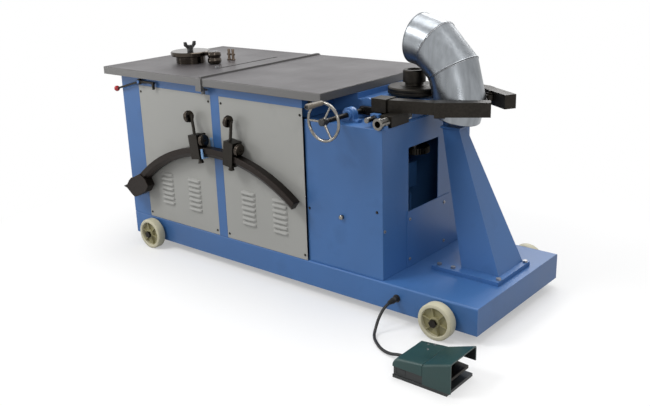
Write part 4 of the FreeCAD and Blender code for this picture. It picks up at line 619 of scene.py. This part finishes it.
def louvre_pattern():
    """Pressed louvres: a hood that bulges out towards its open lower edge, over a slit sheet in a dark finish
    that is painted shade of the opening.
    """
    pattern = Pattern("pressed_louvres", Length="NodeSocketFloat", Height="NodeSocketFloat",
                      Depth="NodeSocketFloat", Paint="NodeSocketMaterial", Gap="NodeSocketMaterial")
    maths = pattern.maths
    length, height, depth = (pattern.given[label] for label in ("Length", "Height", "Depth"))
    place = pattern.add("GeometryNodeInputPosition").outputs[0]
    across, up, _ = pattern.add("ShaderNodeSeparateXYZ", Vector=place).outputs

    def rounded(share, power):
        """Fall from 1 to 0 along a share, on a round curve."""
        rest = maths("SUBTRACT", 1.0, maths("POWER", share, power))
        return maths("SQRT", maths("MAXIMUM", 0.0, rest))

    def outward(*factors):
        """Distance in front of the panel."""
        reach = maths("MULTIPLY", depth, -1.0)
        for factor in factors:
            reach = maths("MULTIPLY", reach, factor)
        return reach

    def shaped(mesh, spot):
        made = pattern.add("GeometryNodeSetPosition", Geometry=mesh.outputs["Mesh"], Position=spot.outputs[0])
        return made.outputs[0]

    ends = rounded(maths("DIVIDE", maths("ABSOLUTE", across), maths("MULTIPLY", length, 0.5)), LOUVRE_ENDS)
    rise = maths("ADD", maths("DIVIDE", up, height), 0.5)
    crown = rounded(maths("MAXIMUM", rise, 0.0), LOUVRE_CROWN)
    hood = pattern.add("GeometryNodeMeshGrid", Size_X=length, Size_Y=height, Vertices_X=LOUVRE_STEPS,
                       Vertices_Y=7)
    hood_spot = pattern.add("ShaderNodeCombineXYZ", X=across, Y=outward(crown, ends),
                            Z=maths("MULTIPLY", rise, height))
    # Sheet across each hood's open lower edge, in a dark finish as painted shade of the opening behind it
    slit = pattern.add("GeometryNodeMeshGrid", Size_X=length, Size_Y=1.0, Vertices_X=LOUVRE_STEPS,
                       Vertices_Y=2)
    slit_spot = pattern.add("ShaderNodeCombineXYZ", X=across, Y=outward(ends, maths("ADD", up, 0.5)))
    painted = pattern.add("GeometryNodeSetMaterial", Geometry=shaped(hood, hood_spot),
                          Material=pattern.given["Paint"])
    smooth = pattern.add("GeometryNodeSetShadeSmooth", Geometry=painted.outputs[0])
    flipped = pattern.add("GeometryNodeFlipFaces", Mesh=shaped(slit, slit_spot))
    slit_shade = pattern.add("GeometryNodeSetMaterial", Geometry=flipped.outputs[0], Material=pattern.given["Gap"])
    placed = pattern.add("GeometryNodeInstanceOnPoints", Points=pattern.given["Geometry"],
                         Instance=pattern.join(smooth.outputs[0], slit_shade.outputs[0]))
    real = pattern.add("GeometryNodeRealizeInstances", Geometry=placed.outputs[0])
    pattern.feed(pattern.result, real.outputs[0])
    return pattern


def dress_panels():
    """Louvres of the two front panels. Returns the places of their corner screws."""
    louvres = []
    screws = []
    for name in ("front_panel_left", "front_panel_right"):
        low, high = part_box(name)
        margin = (high.x - low.x - 2 * LOUVRE_COLUMN) / 3
        face = high.y - PANEL_SHEET
        for start in (margin, 2 * margin + LOUVRE_COLUMN):
            centre = low.x + start + LOUVRE_COLUMN / 2
            for row in range(LOUVRE_ROWS):
                louvres.append((centre, face, low.z + LOUVRE_FOOT + row * LOUVRE_PITCH))
        for x in (low.x + SCREW_INSET, high.x - SCREW_INSET):
            for z in (low.z + SCREW_FROM_FOOT, high.z - SCREW_FROM_TOP):
                screws.append((x, face, z))
    # The black finish of the slits is painted shade
    louvre_pattern().grow("panel_louvres", louvres, FRONT, "frame", **LOUVRE_SIZE,
                          Paint=FINISHES["grey_paint"], Gap=FINISHES["black_plastic"])
    return screws


def dress_screws(panel_screws):
    """Small screws of the panels, the foot switch, the drive housing and the cabinet's wall."""
    pattern = screw_pattern()
    groups = (("panel_screws", panel_screws, FRONT, 0.0042, 0.003, "black_oxide"), *SCREW_GROUPS)
    for name, places, way, radius, height, finish in groups:
        # The black finish on each socket is painted shade of its recess
        pattern.grow(name, places, way, "frame", Radius=radius, Height=height,
                     Metal=FINISHES[finish], Socket=FINISHES["black_plastic"])


# Elbow, measured as in the CAD: seam planes fan out from the centre of the bend
ELBOW_AXIS = Vector((0.726, 0.0785, 0.842))
ELBOW_RADIUS = 0.106
ELBOW_SIDES = 128
ELBOW_SHEET = 0.0012
BEND_RADIUS = 0.242
BEND_DIRECTION = math.radians(177)
GORE_TILTS = (-15, 15, 45, 75)
GORE_RIMS = (-16.6, 0, 30, 60, 80.5)
# Distance from the seam in metres, and rise in millimetres
SEAM_RIDGE = ((0.0, 0.8), (0.0012, 2.4), (0.0028, 2.4), (0.0040, 0.2), (0.0056, 0.0))
# Strip of the ridge, counted from the seam, that has the seam's finish
SEAM_STRIP = 2
ELBOW_RIM_STRIP = 0.004
ELBOW_RIM_WIRE = 0.0019


def elbow_frame():
    """Centre of the bend and the directions towards it and across it."""
    inward = Vector((math.cos(BEND_DIRECTION), math.sin(BEND_DIRECTION), 0.0))
    across = Vector((0, 0, 1)).cross(inward)
    return ELBOW_AXIS + inward * BEND_RADIUS, inward, across


def seam_ring(angle):
    """Points of the round seam at an angle round the bend, with the way out of the pipe at each."""
    centre, inward, across = elbow_frame()
    outward = -math.cos(math.radians(angle)) * inward + Vector((0, 0, math.sin(math.radians(angle))))
    ring = []
    for step in range(ELBOW_SIDES):
        turn = math.tau * step / ELBOW_SIDES
        away = outward * math.cos(turn) + across * math.sin(turn)
        ring.append((centre + outward * BEND_RADIUS + away * ELBOW_RADIUS, away))
    return ring


def make_elbow(material, seam_material):
    """Four gores of thin sheet with a standing ridge at each seam, and a wire rim at the open end."""
    centre, inward, _ = elbow_frame()
    last = len(GORE_TILTS) - 1
    shape = bmesh.new()

    def along(tilt):
        """Way along a gore, or across a seam plane."""
        return math.sin(math.radians(tilt)) * inward + Vector((0, 0, math.cos(math.radians(tilt))))

    def plane_distance(point, direction, angle):
        """How far the seam plane at an angle lies from a point."""
        return (centre - point).dot(along(angle)) / direction.dot(along(angle))

    for index, (tilt, low_angle, high_angle) in enumerate(zip(GORE_TILTS, GORE_RIMS, GORE_RIMS[1:])):
        direction = along(tilt)
        rows = []
        for point, away in seam_ring(high_angle if index == 0 else low_angle):
            start = plane_distance(point, direction, low_angle)
            end = plane_distance(point, direction, high_angle)
            if index > 0:
                stops = [(start + reach, rise) for reach, rise in SEAM_RIDGE]
            else:
                stops = [(start, 0.0), (start + ELBOW_RIM_STRIP, 0.0)]
            stops += [(start + (end - start) * part, 0.0) for part in (0.33, 0.67)]
            if index < last:
                stops += [(end - reach, rise) for reach, rise in reversed(SEAM_RIDGE)]
            else:
                stops += [(end - ELBOW_RIM_STRIP, 0.0), (end, 0.0)]
            rows.append([shape.verts.new(point + direction * reach + away * rise / 1000)
                         for reach, rise in stops])
        for step, here in enumerate(rows):
            there = rows[(step + 1) % len(rows)]
            for low in range(len(here) - 1):
                side = shape.faces.new([here[low], there[low], there[low + 1], here[low + 1]])
                from_end = len(here) - 1 - low
                if index < last and from_end == SEAM_STRIP or index > 0 and low == SEAM_STRIP:
                    side.material_index = 1
    mouth = [row[-1].co.copy() for row in rows]
    bmesh.ops.remove_doubles(shape, verts=shape.verts, dist=0.00005)
    elbow = finish_mesh("elbow_sheet", shape, smooth=50.0)
    wall = elbow.modifiers.new("wall", "SOLIDIFY")
    wall.thickness = ELBOW_SHEET
    wall.offset = -1.0
    stand_for(elbow, "elbow", "elbow", material, seam_material)
    curve, spline = round_curve("elbow_rim_path", mouth, "POLY", ELBOW_RIM_WIRE, 3)
    spline.use_cyclic_u = True
    path = bpy.data.objects.new("elbow_rim_path", curve)
    rim = bpy.data.objects.new("elbow_rim", bpy.data.meshes.new_from_object(path))
    bpy.data.objects.remove(path)
    rim.data.materials.clear()
    link(rim, "elbow", material)


# Turned profiles are (radius, height) points in millimetres
CLOSING_ROLL = (
    (0, 0), (106, 0), (111, 5), (111, 14), (108, 15.5), (108, 17.5), (111, 19), (111, 28), (106, 33),
    (60, 33), (58, 34.5), (42, 34.5), (39, 37), (39, 49), (48, 49), (48, 96), (44, 100), (30, 100),
    (30, 92), (0, 92),
)
FORMING_ROLLER = (
    (11.1, 0), (22, 0), (30, 3), (33, 12), (33, 22), (29, 28.5), (29, 31.5), (33, 38), (33, 48),
    (30, 57), (22, 60), (11.1, 60),
)
# Turn of each carrier's rollers in degrees, and the radius of each roller
CARRIER_TURNS = (("left", 97.3), ("right", 81.7))
ROLLER_RADII = (("top", 27), ("side", 28))
ROLLER_WIDTH = 18
ROLLER_BORE = 6.1
ROLLER_CHEEK = 0.62
TREAD_GROOVE = 5.0
TREAD_RINGS = 9
TREAD_DOME = 0.6


def make_closing_roll(material):
    """Large roll under the elbow, with its two treads and its boss."""
    roll = lathe("closing_roll_turned", CLOSING_ROLL, underside("closing_roll"), segments=96)
    stand_for(round_edges(roll, 0.0008), "closing_roll", "closing_roll", material)


def barrel(radius):
    """Half section of a small roller with two domed treads and a groove between them."""
    profile = [(ROLLER_BORE, 0.0), (radius * ROLLER_CHEEK, 0.0)]
    for side in (0, 1):
        for ring in range(TREAD_RINGS):
            part = (ring + 0.5) / TREAD_RINGS
            rise = math.sin(math.pi * part) ** TREAD_DOME
            profile.append((radius - TREAD_GROOVE + TREAD_GROOVE * rise, (side + part) * ROLLER_WIDTH / 2))
    return profile + [(radius * ROLLER_CHEEK, ROLLER_WIDTH), (ROLLER_BORE, ROLLER_WIDTH)]


def make_rollers(material):
    """Polished rollers of the two carriers and of the left station."""
    for side, turn in CARRIER_TURNS:
        way = Vector((-math.sin(math.radians(turn)), 0, math.cos(math.radians(turn))))
        for place, radius in ROLLER_RADII:
            node = f"{side}_{place}_roller"
            start = middle(node) - way * ROLLER_WIDTH / 2000
            stand_for(lathe(f"{node}_turned", barrel(radius), start, way, 48), node, node, material)
    roller = lathe("forming_roller_turned", FORMING_ROLLER, underside("forming_roller"))
    stand_for(round_edges(roller, 0.0012, segments=3), "forming_roller", "forming_roller", material)


HANDWHEEL_HUB = Vector((0.404, CORNER.y - 0.090, 0.802))
HANDWHEEL_RADIUS = 75
HANDWHEEL_TUBE = 6
HANDWHEEL_SIDES = 20
SPOKE_ANGLES = (180, 300, 60)
SPOKE = ((0, 14), (6, 14), (5, 30), (4.2, 74), (0, 74))
HUB = ((0, -18), (11, -18), (15, -14), (16, 10), (13, 18), (0, 18))
GRIP_PIN = ((0, -100), (4, -100), (4, 3), (0, 3))
GRIP_WASHER = ((0, -100), (8, -100), (8, -97), (0, -97))


def make_handwheel(chrome, black, grip):
    """Chrome rim on three spokes, black hub and turning grip."""
    shape = bmesh.new()
    turns = [math.tau * step / HANDWHEEL_SIDES for step in range(HANDWHEEL_SIDES)]
    rim = [(HANDWHEEL_RADIUS + HANDWHEEL_TUBE * math.cos(turn), HANDWHEEL_TUBE * math.sin(turn))
           for turn in turns]
    add_lathe(shape, rim, HANDWHEEL_HUB, ALONG_Y, 96)
    for angle in SPOKE_ANGLES:
        way = Vector((math.cos(math.radians(angle)), 0, math.sin(math.radians(angle))))
        add_lathe(shape, SPOKE, HANDWHEEL_HUB, way, 20)
    wheel = round_edges(finish_mesh("handwheel_rim", shape), 0.0004)
    stand_for(wheel, "handwheel", "handwheel", chrome)
    shape = bmesh.new()
    pin = HANDWHEEL_HUB + Vector((0, 0, HANDWHEEL_RADIUS / 1000))
    add_lathe(shape, HUB, HANDWHEEL_HUB, ALONG_Y, 40)
    add_lathe(shape, GRIP_PIN, pin, ALONG_Y, 20)
    add_lathe(shape, GRIP_WASHER, pin, ALONG_Y, 24)
    link(round_edges(finish_mesh("handwheel_hub", shape), 0.0006), "handwheel", black)
    low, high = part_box("crank_grip")
    end = Vector(((low.x + high.x) / 2, low.y, (low.z + high.z) / 2))
    length = (high.y - low.y) * 1000
    profile = [(4.1, 0), (8, 0), (11.4, 3), (12, 14), (10.6, length * 0.55), (9.6, length * 0.8),
               (10.4, length - 5), (8.6, length), (4.1, length)]
    turned = round_edges(lathe("crank_grip_turned", profile, end, ALONG_Y, 40), 0.0006)
    stand_for(turned, "crank_grip", "crank_grip", grip)


LEVER_PIVOT = Vector((-0.799, CORNER.y - 0.014, 0.840))
LEVER_DROP = math.radians(15.3)
LEVER_HUB = ((0, -8), (12, -8), (14, -6), (14, 6), (12, 8), (0, 8))
LEVER_ROD = ((0, 8), (6, 8), (5, 30), (5, 180), (0, 180))
LEVER_FINGER = ((0, -6), (91, -3), (96, -30), (103, -30), (106, 6), (0, 6))
BALL_PLACE = 0.190
BALL_RADIUS = 14
BALL_STEPS = 18


def make_lever(steel, red):
    """Lever with a hooked finger on one side of its hub, and a rod with a ball on the other."""
    way = Vector((-math.cos(LEVER_DROP), 0, -math.sin(LEVER_DROP)))
    shape = bmesh.new()
    add_lathe(shape, LEVER_HUB, LEVER_PIVOT, ALONG_Y, 36)
    add_lathe(shape, LEVER_ROD, LEVER_PIVOT, way, 20)
    loft(shape, [[LEVER_PIVOT + Vector((x, y, z)) / 1000 for x, z in LEVER_FINGER] for y in (-5, 5)])
    stand_for(round_edges(finish_mesh("lever_arm", shape), 0.0008), "control_lever", "control_lever", steel)
    turns = [math.pi * step / BALL_STEPS for step in range(BALL_STEPS + 1)]
    ball = [(BALL_RADIUS * math.sin(turn), -BALL_RADIUS * math.cos(turn)) for turn in turns]
    link(lathe("lever_ball", ball, LEVER_PIVOT + way * BALL_PLACE, way, 36), "control_lever", red)


WHEELS = ("wheel_front_left", "wheel_front_right", "wheel_back_left", "wheel_back_right")
TYRE = (
    (60, -21.5), (69, -21.5), (73, -19.5), (75, -15.5), (75, 15.5), (73, 19.5), (69, 21.5), (60, 21.5),
    (57, 18), (57, -18),
)
WHEEL_WEB = ((21, -6), (58, -6), (58, 6), (21, 6))
WHEEL_BOSS = ((10.1, -21.5), (20, -21.5), (22, -19), (22, 19), (20, 21.5), (10.1, 21.5))
WHEEL_RIBS = 6
WHEEL_RIB_LOW = Vector((0.021, -0.0165, -0.0025))
WHEEL_RIB_HIGH = Vector((0.058, 0.0165, 0.0025))


def make_wheels(cream, dish):
    """Moulded wheels with a rounded tread and a ribbed dish."""
    for node in WHEELS:
        centre = middle(node)
        shape = bmesh.new()
        add_lathe(shape, TYRE, centre, ALONG_Y, 72)
        start = len(shape.faces)
        add_lathe(shape, WHEEL_WEB, centre, ALONG_Y, 72)
        add_lathe(shape, WHEEL_BOSS, centre, ALONG_Y, 48)
        for rib in range(WHEEL_RIBS):
            turn = Matrix.Rotation(math.tau * (rib + 0.25) / WHEEL_RIBS, 3, "Y")
            add_box(shape, centre + WHEEL_RIB_LOW, centre + WHEEL_RIB_HIGH, turn, centre)
        # The web, boss and ribs take the second finish, darker partly as painted shade of the dish's recess
        colour_faces(shape, start, 1)
        wheel = round_edges(finish_mesh(f"{node}_moulded", shape), 0.0012)
        stand_for(wheel, node, node, cream, dish)


# Foot switch: heights above the floor, and lengths from the ends of its box
PLATE_TOP = 0.012
SWITCH_BOX_TOP = 0.046
SWITCH_BOX_INSET = Vector((0.003, 0.0025))
COVER_FOOT = 0.044
COVER_CORNER = 0.010
COVER_NOSE = ((0.0, 0.060), (0.004, 0.066), (0.014, 0.077))
HOOD_FOOT = 0.088
HOOD_TOP = 0.126
HOOD_WALL = 0.006
HOOD_CORNER = 0.012
HOOD_NOTCH = 0.036
NOTCH_HEIGHT = 0.068
# Frame on the box's near side: ends along X, foot and top, width of its bars, and depths
LABEL_ENDS = (0.014, 0.054)
LABEL_FOOT = 0.019
LABEL_TOP = 0.040
LABEL_BAR = 0.0015
LABEL_DEPTHS = (0.0012, 0.0026)
ARCH_STEPS = 6


def arch(x, near, far, foot, top, radius, far_foot=None):
    """Closed (y, z) outline with rounded upper corners, at one place along X."""
    points = [(near, foot)]
    for corner, start in (((near + radius, top - radius), 180), ((far - radius, top - radius), 90)):
        for step in range(ARCH_STEPS + 1):
            angle = math.radians(start - 90 * step / ARCH_STEPS)
            points.append((corner[0] + radius * math.cos(angle), corner[1] + radius * math.sin(angle)))
    points.append((far, foot if far_foot is None else far_foot))
    return [Vector((x, y, z)) for y, z in points]


def hood_section(x, near, far, foot, top, far_foot):
    """Outline of the bent hood sheet: outside up and over, inside back."""
    outside = arch(x, near, far, foot, top, HOOD_CORNER, far_foot)
    inside = arch(x, near + HOOD_WALL, far - HOOD_WALL, foot, top - HOOD_WALL,
                  HOOD_CORNER - HOOD_WALL * 0.8, far_foot)
    return outside + list(reversed(inside))


def make_foot_switch(cover, sole):
    """Foot switch: dark switch box on its floor plate, the rounded cover over it and the bent hood."""
    low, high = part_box("pedal_base")
    hood_low, hood_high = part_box("pedal_hood")
    kink, end = hood_low.x, hood_high.x
    near, far = low.y, high.y
    plate = low.z + PLATE_TOP

    shape = bmesh.new()
    add_box(shape, (low.x, near, low.z), (high.x, far, plate))
    box_near, box_far = near + SWITCH_BOX_INSET.y, far - SWITCH_BOX_INSET.y
    outline = ((box_near, plate), (box_near, SWITCH_BOX_TOP), (box_far, SWITCH_BOX_TOP), (box_far, plate))
    loft(shape, [[Vector((x, y, z)) for y, z in outline] for x in (low.x + SWITCH_BOX_INSET.x, kink)])
    left, right = (low.x + reach for reach in LABEL_ENDS)
    inner_foot, inner_top = LABEL_FOOT + LABEL_BAR, LABEL_TOP - LABEL_BAR
    bars = ((left, right, LABEL_FOOT, inner_foot), (left, right, inner_top, LABEL_TOP),
            (left, left + LABEL_BAR, inner_foot, inner_top),
            (right - LABEL_BAR, right, inner_foot, inner_top))
    for start, stop, foot, top in bars:
        add_box(shape, (start, near + LABEL_DEPTHS[0], foot), (stop, near + LABEL_DEPTHS[1], top))
    base = round_edges(finish_mesh("switch_floor_and_box", shape), 0.0010)
    stand_for(base, "pedal_base", "frame", sole)

    shape = bmesh.new()
    nose = [(low.x + reach, top) for reach, top in COVER_NOSE] + [(kink - 0.001, HOOD_FOOT)]
    loft(shape, [arch(x, near, far, COVER_FOOT, top, COVER_CORNER) for x, top in nose])
    link(round_edges(finish_mesh("switch_cover", shape, smooth=50.0), 0.0012), "frame", cover)

    shape = bmesh.new()
    notch = kink + HOOD_NOTCH
    rise = (HOOD_TOP - HOOD_FOOT) / (end - kink)
    for start, stop, far_foot in ((kink, notch, plate), (notch, end, NOTCH_HEIGHT)):
        loft(shape, [hood_section(x, near, far, plate, HOOD_FOOT + rise * (x - kink), far_foot)
                     for x in (start, stop)])
    bmesh.ops.remove_doubles(shape, verts=shape.verts, dist=0.00001)
    hood = round_edges(finish_mesh("switch_hood", shape, smooth=50.0), 0.0008)
    # The hood's second finish, the dark sole, is painted shade on its inside
    stand_for(hood, "pedal_hood", "frame", cover, sole)
    middle_y = (near + far) / 2
    for face in hood.data.polygons:
        # The hood's inside gets the dark sole finish as painted shade: its underside and the faces that look
        # at its middle
        inward = (face.center.y - middle_y) * face.normal.y < -0.0005
        if face.normal.z < -0.3 or inward:
            face.material_index = 1


# Curved guide about an axis along Y: angles in degrees, radii and depths in millimetres
ARC_AXIS = Vector((-0.283, 0.0, -0.210))
ARC_SECTION = ((755, 20), (799, 20), (799, 60), (773, 60), (760, 50), (755, 46))
ARC_START = 52.5
ARC_END = 136.0
ARC_STEPS = 72
END_ANGLE = 133.5
END_DEPTHS = (20.5, 65.5)
END_OUTLINE = ((758, -44), (799, -30), (812, 14), (824, 42), (825, 66), (820, 94), (831, 126), (808, 111),
               (765, 104), (742, 97), (725, 52), (712, 6), (719, -38))


def make_arc_guide(steel):
    """Curved bar with a bevelled lower edge, and the block with its pointed pin at the left end."""
    shape = bmesh.new()

    def spot(radius, depth, angle, along=0.0):
        turn = math.radians(angle)
        x = radius * math.cos(turn) - along * math.sin(turn)
        z = radius * math.sin(turn) + along * math.cos(turn)
        return ARC_AXIS + Vector((x / 1000, CORNER.y - depth / 1000, z / 1000))

    angles = [ARC_START + (ARC_END - ARC_START) * step / ARC_STEPS for step in range(ARC_STEPS + 1)]
    loft(shape, [[spot(radius, depth, angle) for radius, depth in ARC_SECTION] for angle in angles])
    loft(shape, [[spot(radius, depth, END_ANGLE, along) for radius, along in END_OUTLINE]
                 for depth in END_DEPTHS])
    piece = round_edges(finish_mesh("curved_guide_bar", shape, smooth=12.0), 0.0022)
    stand_for(piece, "arc_guide", "frame", steel)


RAIL_WIDTH = 0.030
RAIL_FROM_FRONT = 0.034
RAIL_FROM_BACK = 0.030


def make_cross_rail(paint_finish):
    """Rail between the drive housing's top and the right table."""
    housing_low, housing_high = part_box("drive_housing")
    table_low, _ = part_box("right_table")
    low = (housing_low.x - RAIL_WIDTH, CORNER.y + RAIL_FROM_FRONT, housing_high.z)
    high = (housing_low.x, housing_high.y - RAIL_FROM_BACK, table_low.z)
    shape = bmesh.new()
    add_box(shape, low, high)
    link(round_edges(finish_mesh("housing_cross_rail", shape), 0.0015), "frame", paint_finish)


# Lamps: name, place, point they face, size and power in watts
LAMPS = (
    ("key", (-1.7, -3.0, 4.2), (0.1, 0.0, 0.5), (1.6, 1.4), 104.0),
    ("left", (-4.2, -3.4, 1.2), (-0.2, 0.0, 0.5), (0.9, 0.9), 34.0),
    ("side", (3.3, -2.9, 2.4), (0.6, 0.0, 0.5), (1.0, 1.0), 26.0),
    ("back", (-0.5, 4.2, 3.2), (0.0, 0.2, 0.6), (2.0, 2.0), 60.0),
    ("top", (0.4, 0.6, 4.2), (0.1, 0.2, 0.6), (3.0, 2.2), 74.0),
)
SKY_BOUNCED = 0.42
SKY_SEEN = 1.0
FLOOR_REACH = 9.0
FLOOR_BOUNCED = linear(150, 150, 150)
FADE_NEAR = 1.0
FADE_FAR = 1.9
FADE_LEAST = 0.35


def area_light(name, place, target, size, power):
    """Soft lamp that faces a point."""
    data = bpy.data.lights.new(name, "AREA")
    data.shape = "RECTANGLE"
    data.size, data.size_y = size
    data.energy = power
    obj = bpy.data.objects.new(name, data)
    obj.location = place
    obj.rotation_euler = (Vector(target) - Vector(place)).to_track_quat("-Z", "Y").to_euler()
    bpy.context.scene.collection.objects.link(obj)


def make_studio():
    """Pale floor, white surroundings and soft lamps."""
    world = bpy.data.worlds.new("studio")
    bpy.context.scene.world = world
    world.use_nodes = True
    sky = NodeTree(world.node_tree)
    background = world.node_tree.nodes["Background"].inputs
    sky.feed(background["Strength"], sky.steps(sky.seen(), 0.0, 1.0, SKY_BOUNCED, SKY_SEEN))
    sky.feed(background["Color"], WHITE)

    mesh = bpy.data.meshes.new("floor")
    reach = FLOOR_REACH
    mesh.from_pydata([(-reach, -reach, 0), (reach, -reach, 0), (reach, reach, 0), (-reach, reach, 0)],
                     [], [(0, 1, 2, 3)])
    floor = bpy.data.objects.new("floor", mesh)
    bpy.context.scene.collection.objects.link(floor)
    recipe = Recipe("floor_paper")
    cloud = recipe.steps(recipe.noise(0.8, detail=2.0), 0.3, 0.7)
    paper = recipe.mix(cloud, linear(250, 250, 250), linear(254, 254, 254))
    recipe.set(Base_Color=recipe.mix(recipe.seen(), FLOOR_BOUNCED, paper), Roughness=0.9)
    recipe.fade_to_white(FADE_NEAR, FADE_FAR, FADE_LEAST)
    mesh.materials.append(recipe.material)

    for lamp in LAMPS:
        area_light(*lamp)
    bpy.context.scene.view_settings.view_transform = "Standard"


make_camera()
make_foot_switch(FINISHES["teal_paint"], SOLE_AND_HOOD_SHADE)
make_cord(FINISHES["black_rubber"])
dress_nodes()
make_elbow(FINISHES["galvanised"], FINISHES["steel"])
make_closing_roll(FINISHES["black_oxide"])
make_handwheel(FINISHES["chrome"], FINISHES["black_plastic"], GRIP)
make_rollers(ROLLER_STEEL)
make_lever(FINISHES["black_oxide"], FINISHES["red_plastic"])
make_arc_guide(ARC_STEEL)
make_cross_rail(FINISHES["blue_paint"])
dress_screws(dress_panels())
soften_edges()
make_wheels(FINISHES["cream_plastic"], DISH_TONE_AND_SHADE)
make_studio()
